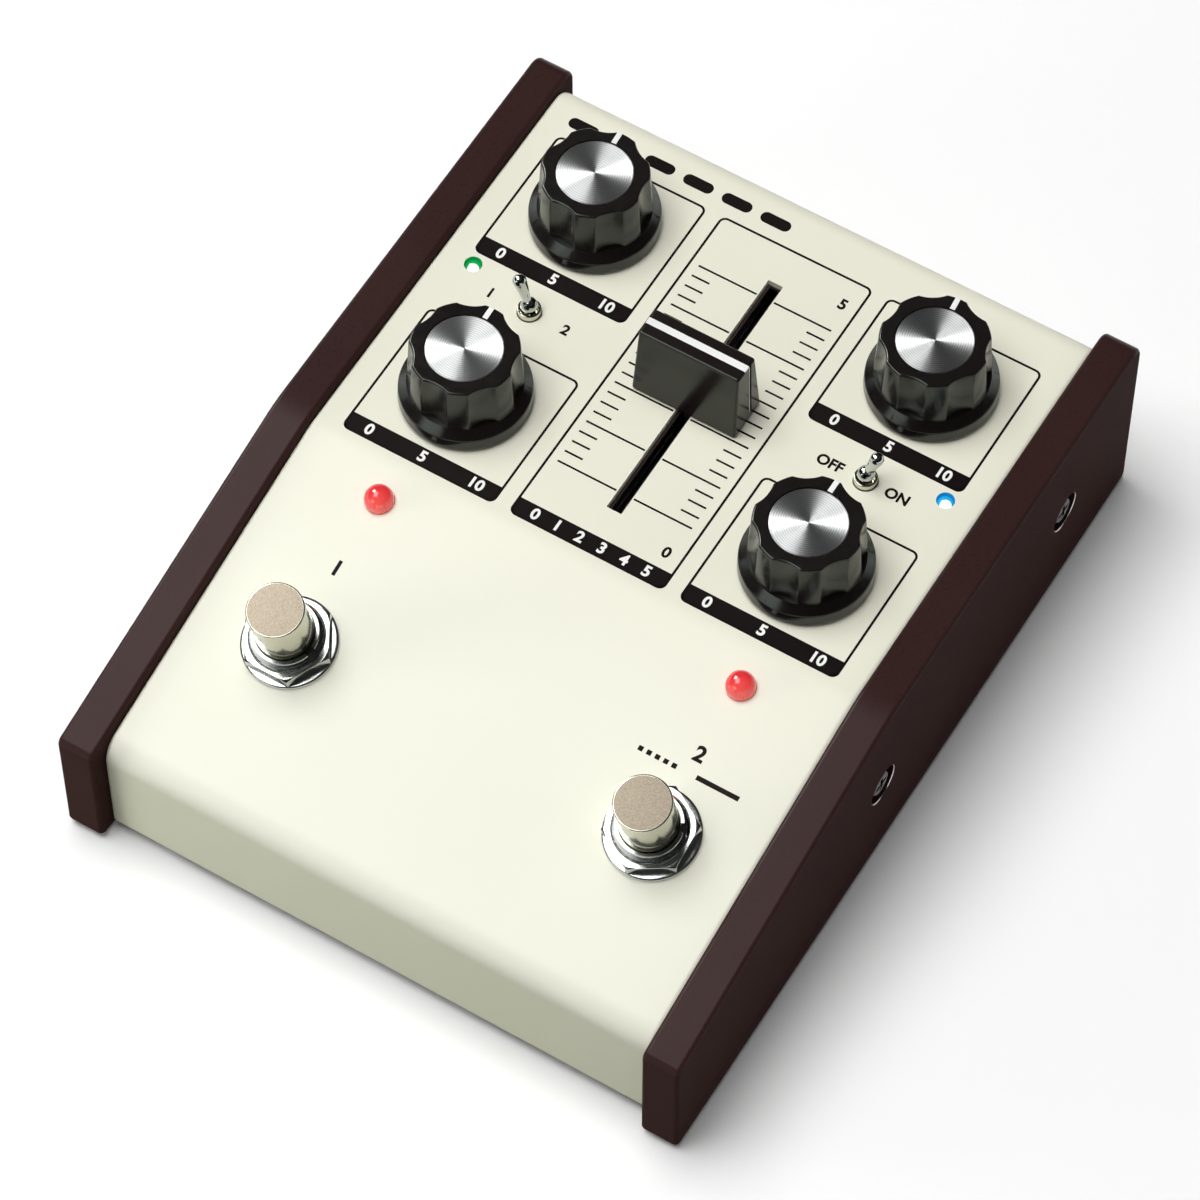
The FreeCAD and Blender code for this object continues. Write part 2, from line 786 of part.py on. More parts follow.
def make_fader_cap():
    base = [
        (-cap_base_half_length, -cap_base_half_width), (cap_base_half_length, -cap_base_half_width),
        (cap_base_half_length, cap_base_half_width), (-cap_base_half_length, cap_base_half_width),
    ]
    top = [
        (-cap_top_half_length, -cap_top_front), (cap_top_half_length, -cap_top_front),
        (cap_top_half_length, cap_top_rear), (-cap_top_half_length, cap_top_rear),
    ]
    wires = []
    for corners, height in ((base, cap_under), (top, cap_top)):
        points = [vector(x, y, height) for x, y in corners]
        wires.append(Part.makePolygon(points + points[:1]))
    cap = Part.makeLoft(wires, True, True)
    outer = [edge for edge in cap.Edges if edge.BoundBox.ZMax > cap_under + near_zero]
    cap = cap.makeFillet(cap_edge_round, outer)
    line_half = cap_line_width / 2
    line_base = cap_top - cap_line_depth
    reach = cap_base_half_length
    room = line_half + inlay_fit
    cap = cap.cut(box(-reach, reach, -room, room, line_base, cap_top + cut_over))
    for side in sides.values():
        near = side * (cap_top_half_length - cap_groove_depth)
        far = side * (reach + cut_over)
        groove = box(
            min(near, far), max(near, far),
            cap_groove_back, cap_groove_back + cap_groove_width,
            cap_groove_from, line_base,
        )
        cap = cap.cut(groove)
    socket_x = fader_lever_thickness / 2 + running_fit
    socket_y = fader_lever_width / 2 + running_fit
    socket_top = cap_under + fader_lever_into_cap + running_fit
    cap = cap.cut(box(-socket_x, socket_x, -socket_y, socket_y, cap_under, socket_top))
    save("fader_cap", on_rear_panel(cap, 0, fader_y))
    half_run = cap_top_half_length - cap_edge_round
    line = box(-half_run, half_run, -line_half, line_half, line_base, cap_top)
    save("fader_cap_line", on_rear_panel(line, 0, fader_y))


# Toggles

def toggle_body():
    half_wide = toggle_body_width / 2
    half_deep = toggle_body_depth / 2
    top = -sheet - toggle_body_gap
    body = box(-half_wide, half_wide, -half_deep, half_deep, -sheet - board_depth, top)
    body = body.fuse(rod(toggle_bush_radius, top, toggle_bush_rise))
    return body.cut(rod(toggle_bush_bore, toggle_bush_rise - toggle_bush_depth, toggle_bush_rise))


def toggle_lever():
    """The lever, upright, with the middle of its ball at the origin."""
    lever = ball(toggle_ball_radius, 0)
    lever = lever.fuse(rod(toggle_stem_radius, -toggle_stem_depth, 0))
    lever = lever.fuse(taper(toggle_neck_radius, toggle_tip_radius, 0, toggle_tip_height))
    return lever.fuse(ball(toggle_tip_radius, toggle_tip_height))


def make_toggles():
    for name, side in sides.items():
        save(name + "_toggle_body", on_rear_panel(toggle_body(), side * toggle_x, fader_y))
        lever = spun(toggle_lever(), side * toggle_lean_degrees, y_axis)
        lever = moved(lever, 0, 0, toggle_ball_height)
        save(name + "_toggle_lever", on_rear_panel(lever, side * toggle_x, fader_y))


# Lamps

def led(radius, dome_centre, length, flange, lead_to):
    """A round lamp with its dome's middle at a height, a flange and two leads."""
    bottom = dome_centre - length
    lamp = ball(radius, dome_centre).fuse(rod(radius, bottom, dome_centre))
    lamp = lamp.fuse(rod(flange, bottom, bottom + led_flange_height))
    for side in sides.values():
        lamp = lamp.fuse(rod(led_lead_radius, lead_to, bottom, side * led_lead_pitch / 2))
    return lamp


def make_lamps():
    board_below = sheet + board_depth
    small_centre = -small_led_sunk - small_led_radius
    small = led(small_led_radius, small_centre, small_led_length, small_led_flange, -board_below)
    save("green_led", on_rear_panel(small, -small_led_x, small_led_y))
    save("blue_led", on_rear_panel(small, small_led_x, small_led_y))
    long_leads = led(red_led_radius, red_led_rise, red_led_length, red_led_flange, -2 * board_below)
    under_board = box(
        -overall_half_width, overall_half_width,
        front_y, cheek_depth / 2,
        0, board_top_z,
    )
    for name, side in sides.items():
        lamp = on_front_panel(long_leads, side * red_led_x, red_led_down).cut(under_board)
        save(name + "_red_led", lamp)


# Foot switches

def chamfered_nut(flats, z0, z1, chamfer, turn):
    """A hexagon whose top corners are turned off."""
    corner = flats / math.sqrt(3)
    limit = turned([
        (0, z0), (corner + cut_over, z0),
        (corner + cut_over, z1 - chamfer - cut_over),
        (corner, z1 - chamfer),
        (flats / 2 - chamfer, z1),
        (0, z1),
    ])
    return hexagon(flats, z0, z1, turn).common(limit)


def foot_switch_body(key_turn):
    half_wide = foot_body_width / 2
    half_long = foot_body_length / 2
    body = box(-half_wide, half_wide, -half_long, half_long, -sheet - foot_body_height, -sheet)
    body = body.fuse(rod(foot_bush_radius, -sheet, foot_bush_height))
    bore_floor = -foot_button_tail - foot_button_travel - foot_button_spare
    body = body.cut(rod(foot_button_radius + foot_button_fit, bore_floor, foot_bush_height))
    key = box(
        foot_bush_radius - foot_key_depth, foot_bush_radius + cut_over,
        -foot_key_width / 2, foot_key_width / 2,
        -sheet, foot_bush_height,
    )
    return body.cut(spun(key, key_turn))


def foot_button():
    top = foot_button_top
    edge = foot_button_edge
    return turned([
        (0, -foot_button_tail),
        (foot_button_radius, -foot_button_tail),
        (foot_button_radius, top - edge),
        (foot_button_radius - edge, top),
        (0, top),
    ])


def make_foot_switches():
    washers = []
    nuts = []
    clear = foot_bush_radius + thread_fit
    for name, side in sides.items():
        x = side * foot_switch_x
        body = foot_switch_body(foot_key_degrees[name])
        save(name + "_foot_switch", on_front_panel(body, x, foot_switch_down))
        save(name + "_foot_button", on_front_panel(foot_button(), x, foot_switch_down))
        washer = tube(foot_washer_radius, clear, 0, foot_washer_thickness)
        washers.append(on_front_panel(washer, x, foot_switch_down))
        nut_top = foot_washer_thickness + foot_nut_height
        turn = foot_nut_degrees[name]
        nut = chamfered_nut(foot_nut_flats, foot_washer_thickness, nut_top, foot_nut_chamfer, turn)
        nut = nut.cut(rod(clear, 0, nut_top))
        nuts.append(on_front_panel(nut, x, foot_switch_down))
    save("foot_switch_washers", *washers)
    save("foot_switch_nuts", *nuts)


# Sockets

def make_jacks():
    wall_inside = shell_rear_y - sheet
    mouth = shell_rear_y + jack_bush_out
    nuts = []
    for name, side in (("input_jack", 1), ("output_jack", -1)):
        x = side * jack_x
        half = jack_width / 2
        bottom = board_under_z - jack_height
        body = box(x - half, x + half, jack_front_y, wall_inside, bottom, board_under_z)
        body = body.fuse(rod_y(jack_bush_radius, wall_inside, mouth, x, jack_z))
        save(name, body.cut(rod_y(jack_bore, mouth - jack_bore_length, mouth, x, jack_z)))
        nut = hexagon(jack_nut_flats, 0, jack_nut_height)
        nut = nut.cut(rod(jack_bush_radius + thread_fit, 0, jack_nut_height))
        nuts.append(moved(spun(nut, -90, x_axis), x, shell_rear_y, jack_z))
    save("jack_nuts", *nuts)


def make_power_jack():
    wall_inside = shell_rear_y - sheet
    half = power_width / 2
    bottom = board_under_z - power_height
    body = box(-half, half, wall_inside - power_depth, wall_inside, bottom, board_under_z)
    body = body.fuse(rod_y(power_nose_radius, wall_inside, shell_rear_y, 0, power_z))
    floor = shell_rear_y - power_bore_length
    body = body.cut(rod_y(power_bore, floor, shell_rear_y, 0, power_z))
    pin = rod_y(power_pin_radius, floor - sheet, shell_rear_y - power_pin_sunk, 0, power_z)
    save("power_jack", body.fuse(pin))


os.makedirs("parts", exist_ok=True)
make_shell()
make_bottom_plate()
make_bottom_screws()
make_rubber_feet()
make_cheek("left_cheek", sides["left"])
make_cheek("right_cheek", sides["right"])
make_cheek_fasteners()
make_boards()
make_ribbon_cable()
make_rotary_controls()
make_fader_frame()
make_fader_seal()
make_fader_lever()
make_fader_cap()
make_toggles()
make_lamps()
make_foot_switches()
make_jacks()
make_power_jack()
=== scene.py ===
"""The looks of a delay pedal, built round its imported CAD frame.

Every length is in metres. X is to the right, Y to the rear and Z up, and the origin is under the middle
of the cheeks, on the surface that the rubber feet stand on.
"""

import json
import logging
import math
from dataclasses import dataclass, field
from enum import Enum
from typing import Callable, Iterable, Sequence

import bpy
import bmesh
from mathutils import Matrix, Vector

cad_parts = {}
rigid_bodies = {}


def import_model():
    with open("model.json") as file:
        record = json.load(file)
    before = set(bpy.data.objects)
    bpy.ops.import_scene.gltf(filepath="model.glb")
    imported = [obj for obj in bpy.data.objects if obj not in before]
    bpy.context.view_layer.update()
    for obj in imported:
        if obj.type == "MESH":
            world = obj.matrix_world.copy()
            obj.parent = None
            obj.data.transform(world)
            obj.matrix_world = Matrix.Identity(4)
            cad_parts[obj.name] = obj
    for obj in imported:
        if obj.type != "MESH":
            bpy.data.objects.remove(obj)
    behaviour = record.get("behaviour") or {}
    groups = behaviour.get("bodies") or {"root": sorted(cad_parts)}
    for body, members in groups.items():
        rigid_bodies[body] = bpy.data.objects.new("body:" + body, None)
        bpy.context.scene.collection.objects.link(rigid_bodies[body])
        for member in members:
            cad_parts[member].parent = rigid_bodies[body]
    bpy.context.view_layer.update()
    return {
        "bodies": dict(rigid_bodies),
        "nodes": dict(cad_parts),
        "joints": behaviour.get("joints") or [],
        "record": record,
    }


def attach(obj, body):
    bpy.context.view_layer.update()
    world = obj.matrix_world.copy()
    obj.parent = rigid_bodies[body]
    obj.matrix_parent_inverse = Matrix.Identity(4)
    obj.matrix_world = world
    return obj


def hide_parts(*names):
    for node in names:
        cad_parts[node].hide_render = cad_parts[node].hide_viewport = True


MM = 0.001
WELD = 1e-7
BODY_CASE = "case"

# The sockets of a Mix node that is set to colours.
MIX_SHARE, MIX_FIRST, MIX_SECOND, MIX_RESULT = 0, 6, 7, 2
# The distance between a Wave node's rings at a scale of 1.
WAVE_PITCH = math.tau / 20
# The share of a font's size that its figures take up.
FIGURE_SHARE = 0.7
# The sides of a round and of a finely round shape.
ROUND, FINE = 64, 128
# How far a direction points along an axis that it counts as following.
ALONG = 0.9
# The angle in degrees up to which neighbouring faces count as one flat.
FLAT = 0.05

Colour = tuple[float, float, float]
Point = tuple[float, float, float]
Span = tuple[float, float]
Profile = Sequence[tuple[float, float]]
Piece = bpy.types.Object
Socket = bpy.types.NodeSocket
Test = Callable[[Vector, Vector], bool]

log = logging.getLogger("pedal")


class Solver(Enum):
    """How a second shape changes a first one."""

    CUT = "DIFFERENCE"
    KEEP = "INTERSECT"


class Element(Enum):
    """What is picked on an open mesh."""

    FACE = "FACE"
    EDGE = "EDGE"


class Bench:
    """The tools that every piece is shaped with."""

    @staticmethod
    def clear() -> None:
        """Leave edit mode and deselect everything."""
        if bpy.context.mode != "OBJECT":
            bpy.ops.object.mode_set(mode="OBJECT")
        bpy.ops.object.select_all(action="DESELECT")

    @staticmethod
    def take(piece: Piece) -> None:
        """Select one piece alone and make it active."""
        Bench.clear()
        piece.select_set(True)
        bpy.context.view_layer.objects.active = piece

    @staticmethod
    def rename(piece: Piece, name: str) -> Piece:
        """Name a piece and its mesh, and give it back."""
        piece.name = piece.data.name = name
        return piece

    @staticmethod
    def named(name: str) -> Piece:
        """Name the object that an operator has just added, and give it back."""
        return Bench.rename(bpy.context.view_layer.objects.active, name)

    @staticmethod
    def edit(piece: Piece, select: bool = True) -> None:
        """Open a piece in edit mode with all or nothing selected.

        Args:
            piece: The object to open.
            select: Whether its whole mesh is selected.
        """
        Bench.take(piece)
        bpy.ops.object.mode_set(mode="EDIT")
        bpy.ops.mesh.select_mode(type="VERT")
        bpy.ops.mesh.select_all(action="SELECT" if select else "DESELECT")

    @staticmethod
    def close() -> None:
        """Go back to object mode."""
        bpy.ops.object.mode_set(mode="OBJECT")

    @staticmethod
    def pick(piece: Piece, kind: Element, test: Test) -> None:
        """Select faces or edges of the open mesh by their place and direction.

        Args:
            piece: The object in edit mode.
            kind: What is picked.
            test: Says from a middle point and a normal (for an edge, its direction) what is selected.
        """
        bpy.ops.mesh.select_mode(type=kind.value)
        bpy.ops.mesh.select_all(action="DESELECT")
        mesh = bmesh.from_edit_mesh(piece.data)
        if kind is Element.FACE:
            rows = [(face, face.calc_center_median(), face.normal) for face in mesh.faces]
        else:
            ends = [(edge, edge.verts[0].co, edge.verts[1].co) for edge in mesh.edges]
            rows = [(edge, (a + b) / 2, (b - a).normalized()) for edge, a, b in ends]
        for element, middle, way in rows:
            if test(middle, way):
                element.select_set(True)
        mesh.select_flush_mode()
        bmesh.update_edit_mesh(piece.data)

    @staticmethod
    def selected(piece: Piece) -> dict[int, Vector]:
        """Give the selected corners of the open mesh.

        Args:
            piece: The object in edit mode.

        Returns:
            Each corner's place by its number.
        """
        mesh = bmesh.from_edit_mesh(piece.data)
        mesh.verts.index_update()
        return {corner.index: corner.co.copy() for corner in mesh.verts if corner.select}

    @staticmethod
    def select(piece: Piece, numbers: Iterable[int]) -> None:
        """Select only some corners of the open mesh, and the edges between them.

        Args:
            piece: The object in edit mode.
            numbers: The corners' numbers.
        """
        bpy.ops.mesh.select_mode(type="VERT")
        bpy.ops.mesh.select_all(action="DESELECT")
        mesh = bmesh.from_edit_mesh(piece.data)
        mesh.verts.ensure_lookup_table()
        for number in numbers:
            mesh.verts[number].select_set(True)
        mesh.select_flush_mode()
        bmesh.update_edit_mesh(piece.data)

    @staticmethod
    def outline(name: str, points: Iterable[Sequence[float]]) -> Piece:
        """Draw edges through a row of points.

        Args:
            name: The piece's name.
            points: The places to go through.

        Returns:
            The new object, open with all of it selected.
        """
        start, *others = [Vector(place) for place in points]
        Bench.clear()
        bpy.ops.mesh.primitive_plane_add(size=MM, location=(0, 0, 0))
        piece = Bench.named(name)
        Bench.edit(piece)
        bpy.ops.mesh.merge(type="CENTER")
        bpy.ops.transform.translate(value=start)
        here = start
        for place in others:
            bpy.ops.mesh.extrude_vertices_move(TRANSFORM_OT_translate={"value": place - here})
            here = place
        bpy.ops.mesh.select_all(action="SELECT")
        return piece

    @staticmethod
    def tidy_mesh() -> None:
        """Weld the open mesh and turn its faces outwards."""
        bpy.ops.mesh.select_all(action="SELECT")
        bpy.ops.mesh.remove_doubles(threshold=WELD)
        bpy.ops.mesh.normals_make_consistent(inside=False)

    @staticmethod
    def lathe(name: str, profile: Profile, steps: int = 96) -> Piece:
        """Spin a profile about Z.

        Args:
            name: The piece's name.
            profile: (radius, height) points, closed or with both ends on the axis.
            steps: How many steps the turn has.

        Returns:
            The turned object.
        """
        piece = Bench.outline(name, [(radius, 0.0, height) for radius, height in profile])
        bpy.ops.mesh.spin(steps=steps, angle=math.tau, center=(0, 0, 0), axis=(0, 0, 1))
        Bench.tidy_mesh()
        Bench.close()
        return piece

    @staticmethod
    def arc(middle: Span, radius: float, start: float, end: float, steps: int) -> list[Span]:
        """Give the points of an arc round a middle, from the start to the end in degrees."""
        angles = [math.radians(start + (end - start) * number / steps) for number in range(steps + 1)]
        return [(middle[0] + radius * math.cos(a), middle[1] + radius * math.sin(a)) for a in angles]

    @staticmethod
    def block(name: str, low: Point, high: Point) -> Piece:
        """Add a block between two corners.

        Args:
            name: The piece's name.
            low: Its lowest corner.
            high: Its highest corner.

        Returns:
            The new object.
        """
        Bench.clear()
        size = Vector(high) - Vector(low)
        middle = (Vector(high) + Vector(low)) / 2
        bpy.ops.mesh.primitive_cube_add(size=1, location=middle, scale=size)
        piece = Bench.named(name)
        bpy.ops.object.transform_apply(location=True, rotation=True, scale=True)
        return piece

    @staticmethod
    def drum(name: str, radius: float, low: float, high: float, sides: int) -> Piece:
        """Add an upright drum on the Z axis.

        Args:
            name: The piece's name.
            radius: Its radius, to the corners.
            low: The height of its bottom.
            high: The height of its top.
            sides: How many sides it has.

        Returns:
            The new object.
        """
        Bench.clear()
        middle = (0, 0, (low + high) / 2)
        bpy.ops.mesh.primitive_cylinder_add(
            vertices=sides, radius=radius, depth=high - low, location=middle
        )
        piece = Bench.named(name)
        bpy.ops.object.transform_apply(location=True, rotation=True, scale=True)
        return piece

    @staticmethod
    def place(piece: Piece, place: Point, turn: Point = (0, 0, 0)) -> Piece:
        """Turn a piece and move it, into its mesh.

        Args:
            piece: The object, modelled at the origin.
            place: Where its origin goes.
            turn: Its turn about X, Y and Z, in degrees.

        Returns:
            The same object.
        """
        Bench.take(piece)
        piece.rotation_euler = [math.radians(angle) for angle in turn]
        piece.location = place
        bpy.ops.object.transform_apply(location=True, rotation=True, scale=True)
        return piece

    @staticmethod
    def row(pattern: Piece, names: Sequence[str]) -> list[Piece]:
        """Make one piece for each name: the pattern takes the first, and copies take the others.

        Args:
            pattern: The modelled object.
            names: The pieces' names.

        Returns:
            The pieces, each with a mesh of its own.
        """
        pieces = [Bench.rename(pattern, names[0])]
        for name in names[1:]:
            twin = pattern.copy()
            twin.data = pattern.data.copy()
            bpy.context.collection.objects.link(twin)
            pieces.append(Bench.rename(twin, name))
        return pieces

    @staticmethod
    def combine(piece: Piece, other: Piece, how: Solver) -> None:
        """Cut a shape out of a piece, or keep only what both share, and remove the shape.

        Args:
            piece: The object that stays.
            other: The object that changes it.
            how: Which of the two.
        """
        Bench.take(piece)
        bpy.ops.object.modifier_add(type="BOOLEAN")
        change = piece.modifiers[-1]
        change.operation = how.value
        change.solver = "EXACT"
        change.object = other
        bpy.ops.object.modifier_apply(modifier=change.name)
        bpy.data.objects.remove(other)

    @staticmethod
    def join(name: str, pieces: Sequence[Piece]) -> Piece:
        """Make one object of several that lie apart.

        Args:
            name: The joined object's name.
            pieces: The objects.

        Returns:
            The joined object.
        """
        Bench.clear()
        for piece in pieces:
            piece.select_set(True)
        bpy.context.view_layer.objects.active = pieces[0]
        bpy.ops.object.join()
        return Bench.named(name)

    @staticmethod
    def round_edges(piece: Piece, width: float, segments: int = 2, angle: float = 30) -> None:
        """Round every edge that turns by more than an angle.

        Args:
            piece: The object.
            width: How far the rounding reaches from the edge.
            segments: How many faces the rounding has.
            angle: The least turn of an edge that is rounded, in degrees.
        """
        Bench.take(piece)
        bpy.ops.object.modifier_add(type="BEVEL")
        change = piece.modifiers[-1]
        change.width = width
        change.segments = segments
        change.limit_method = "ANGLE"
        change.angle_limit = math.radians(angle)
        bpy.ops.object.modifier_apply(modifier=change.name)

    @staticmethod
    def smooth(piece: Piece, angle: float = 30, flats: bool = True) -> Piece:
        """Shade a piece smoothly, but keep sharp edges and flat faces as they are.

        Args:
            piece: The object.
            angle: Edges that turn by more than this, in degrees, stay sharp.
            flats: Whether large faces keep their own normal.

        Returns:
            The same object.
        """
        Bench.take(piece)
        bpy.ops.object.shade_smooth_by_angle(angle=math.radians(angle))
        if flats:
            bpy.ops.object.modifier_add(type="WEIGHTED_NORMAL")
            change = piece.modifiers[-1]
            change.keep_sharp = True
            bpy.ops.object.modifier_apply(modifier=change.name)
        return piece

    @staticmethod
    def from_frame(frame: dict, node: str, name: str) -> Piece:
        """Copy a CAD node's mesh into a piece of its own, welded.

        Args:
            frame: The loaded frame.
            node: The CAD node's name.
            name: The new piece's name.

        Returns:
            The welded copy.
        """
        mesh = frame["nodes"][node].data.copy()
        mesh.name = name
        piece = bpy.data.objects.new(name, mesh)
        bpy.context.scene.collection.objects.link(piece)
        Bench.edit(piece)
        bpy.ops.mesh.remove_doubles(threshold=WELD)
        bpy.ops.mesh.customdata_custom_splitnormals_clear()
        bpy.ops.mesh.dissolve_limited(angle_limit=math.radians(FLAT))
        Bench.close()
        return piece


class Sheet:
    """A node sheet, with the patterns that the materials share."""

    def __init__(self, tree: bpy.types.NodeTree) -> None:
        """Take a sheet over.

        Args:
            tree: The nodes of a material or of the surroundings.
        """
        self.tree = tree

    def node(self, kind: str, **values: object) -> bpy.types.Node:
        """Add a node.

        Args:
            kind: The node's type name after ShaderNode.
            values: Its settings by attribute name.

        Returns:
            The node.
        """
        made = self.tree.nodes.new("ShaderNode" + kind)
        for key, value in values.items():
            setattr(made, key, value)
        return made

    def link(self, out: Socket, into: Socket) -> None:
        """Connect two sockets."""
        self.tree.links.new(out, into)

    def place(self, centre: Point = (0, 0, 0), stretch: Point = (1, 1, 1)) -> Socket:
        """Give the place on the piece, measured from a centre.

        Args:
            centre: The point that becomes zero.
            stretch: How much each direction is scaled.

        Returns:
            The socket with the place.
        """
        where = self.node("TexCoord")
        shift = self.node("Mapping")
        shift.inputs["Location"].default_value = [-c * s for c, s in zip(centre, stretch)]
        shift.inputs["Scale"].default_value = stretch
        self.link(where.outputs["Object"], shift.inputs["Vector"])
        return shift.outputs["Vector"]

    def distance(self, where: Socket) -> Socket:
        """Give how far a place is from zero.

        Args:
            where: The place socket.

        Returns:
            The distance's socket.
        """
        made = self.node("VectorMath", operation="LENGTH")
        self.link(where, made.inputs[0])
        return made.outputs["Value"]

    def noise(self, where: Socket, scale: float, detail: float = 3.0) -> Socket:
        """Add a noise pattern and give its value.

        Args:
            where: The place socket.
            scale: How many waves there are in a metre.
            detail: How many finer layers it has.

        Returns:
            The socket with the value.
        """
        made = self.node("TexNoise")
        made.inputs["Scale"].default_value = scale
        made.inputs["Detail"].default_value = detail
        self.link(where, made.inputs["Vector"])
        return made.outputs["Fac"]

    def span(
        self, value: Socket, low: float, high: float, start: float = 0.35, end: float = 0.65
    ) -> Socket:
        """Map a value to a range.

        Args:
            value: The value's socket.
            low: What the range starts at.
            high: What the range ends at.
            start: The value that gives low.
            end: The value that gives high.

        Returns:
            The mapped socket.
        """
        made = self.node("MapRange")
        made.inputs["From Min"].default_value = start
        made.inputs["From Max"].default_value = end
        made.inputs["To Min"].default_value = low
        made.inputs["To Max"].default_value = high
        self.link(value, made.inputs["Value"])
        return made.outputs["Result"]

    def maths(self, operation: str, first: Socket, second: Socket, **values: object) -> Socket:
        """Work out a value from two others.

        Args:
            operation: What is done with them, by the Math node's name for it.
            first: A value's socket.
            second: Another value's socket.
            values: More settings by attribute name.

        Returns:
            The result's socket.
        """
        made = self.node("Math", operation=operation, **values)
        self.link(first, made.inputs[0])
        self.link(second, made.inputs[1])
        return made.outputs[0]

    def blend(self, share: Socket, first: Colour | Socket, second: Colour | Socket) -> Socket:
        """Mix two colours by a share.

        Args:
            share: 0 gives the first colour and 1 the second.
            first: A colour, or its socket.
            second: Another colour, or its socket.

        Returns:
            The colour's socket.
        """
        made = self.node("Mix", data_type="RGBA")
        self.link(share, made.inputs[MIX_SHARE])
        for number, colour in ((MIX_FIRST, first), (MIX_SECOND, second)):
            if isinstance(colour, tuple):
                made.inputs[number].default_value = (*colour, 1)
            else:
                self.link(colour, made.inputs[number])
        return made.outputs[MIX_RESULT]

    def shown(self, other: float) -> Socket:
        """Give 1 to the camera, mirrors and glass, and another value to soft light.

        Args:
            other: The value for soft light.

        Returns:
            The value's socket.
        """
        path = self.node("LightPath")
        share = path.outputs["Is Camera Ray"]
        for name in ("Is Glossy Ray", "Is Transmission Ray"):
            share = self.maths("MAXIMUM", share, path.outputs[name])
        return self.span(share, other, 1.0, 0, 1)


class MaterialSheet(Sheet):
    """A material's node sheet, with one surface shader on it."""

    def __init__(self, name: str) -> None:
        """Start a material.

        Args:
            name: The material's name.
        """
        self.material = bpy.data.materials.new(name)
        self.material.use_nodes = True
        super().__init__(self.material.node_tree)
        self.surface = next(node for node in self.tree.nodes if node.type == "BSDF_PRINCIPLED")

    def bump(self, pattern: Socket, height: float) -> None:
        """Raise the surface by a pattern.

        Args:
            pattern: The pattern's socket.
            height: How high it stands.
        """
        made = self.node("Bump")
        made.inputs["Strength"].default_value = 1.0
        made.inputs["Distance"].default_value = height
        self.link(pattern, made.inputs["Height"])
        self.feed(Normal=made.outputs["Normal"])

    def feed(self, **sockets: Socket) -> None:
        """Connect sockets to the surface shader, by input name with underscores for spaces."""
        for key, socket in sockets.items():
            self.link(socket, self.surface.inputs[key.replace("_", " ")])

    def shade(self, **values: object) -> None:
        """Set plain values on the surface shader.

        Args:
            values: The values by input name, with underscores for spaces.
        """
        for key, value in values.items():
            colour = isinstance(value, tuple) and len(value) == 3
            self.surface.inputs[key.replace("_", " ")].default_value = (*value, 1) if colour else value


@dataclass(frozen=True)
class Finish:
    """A surface with a fine grain, soft blotches and an uneven gloss.

    Attributes:
        name: The material's name.
        colour: Its main colour.
        second: The colour of its blotches.
        gloss: The least and the most roughness.
        metal: 1 for bare metal.
        blotch: How many blotches there are in a metre.
        grain: How many grains there are in a metre.
        height: How high the grain stands.
        stretch: How much the grain is scaled along each direction.
        shine: The strength of the reflection of what isn't metal.
        tint: The colour of its reflections.
        glow: How strongly it shines in its main colour.
    """

    name: str
    colour: Colour
    second: Colour
    gloss: Span = (0.35, 0.5)
    metal: float = 0.0
    blotch: float = 40.0
    grain: float = 1500.0
    height: float = 0.004 * MM
    stretch: Point = (1, 1, 1)
    shine: float = 0.5
    tint: Colour = (1.0, 1.0, 1.0)
    glow: float = 0.0

    def material(self) -> bpy.types.Material:
        """Build the material.

        Returns:
            The material.
        """
        sheet = MaterialSheet(self.name)
        self.paint(sheet, sheet.place())
        fine = sheet.noise(sheet.place(stretch=self.stretch), self.grain)
        sheet.feed(Roughness=sheet.span(fine, *self.gloss))
        sheet.bump(fine, self.height)
        sheet.shade(Metallic=self.metal, Specular_IOR_Level=self.shine, Specular_Tint=self.tint)
        if self.glow:
            sheet.shade(Emission_Color=self.colour, Emission_Strength=self.glow)
        return sheet.material

    def paint(self, sheet: MaterialSheet, where: Socket) -> None:
        """Colour the surface.

        Args:
            sheet: The material's sheet.
            where: The place socket.
        """
        soft = sheet.span(sheet.noise(where, self.blotch, 2.0), 0, 1)
        sheet.feed(Base_Color=sheet.blend(soft, self.colour, self.second))


@dataclass(frozen=True)
class CreamPaint(Finish):
    """The case's cream paint, with painted light: whiter towards the front and yellower towards the
    rear, and a yellower painted shade tint on its upright walls.

    Attributes:
        along: Where the front colour ends and the rear colour begins, along Y. The change between them
            is painted light.
        wall: The yellower painted shade tint of the upright walls.
        wall_top: The heights between which it turns into the panels' colour.
        uneven: How far the blotches shift the colour.
    """

    along: Span = (-30 * MM, 10 * MM)
    wall: Colour = (0.78, 0.80, 0.60)
    wall_top: Span = (20 * MM, 24 * MM)
    uneven: float = 0.12

    def paint(self, sheet: MaterialSheet, where: Socket) -> None:
        """Colour the surface.

        Args:
            sheet: The material's sheet.
            where: The place socket.
        """
        split = sheet.node("SeparateXYZ")
        sheet.link(where, split.inputs[0])
        # Painted light: the same paint is whiter at the front and yellower at the rear, blended along
        # Y.
        rear = sheet.span(split.outputs["Y"], 0, 1, *self.along)
        soft = sheet.span(sheet.noise(where, self.blotch, 2.0), -self.uneven, self.uneven)
        share = sheet.maths("ADD", rear, soft, use_clamp=True)
        panels = sheet.blend(share, self.colour, self.second)
        # Painted shade: the upright walls under the panels get a yellower tint.
        low = sheet.span(split.outputs["Z"], 1, 0, *self.wall_top)
        sheet.feed(Base_Color=sheet.blend(low, panels, self.wall))


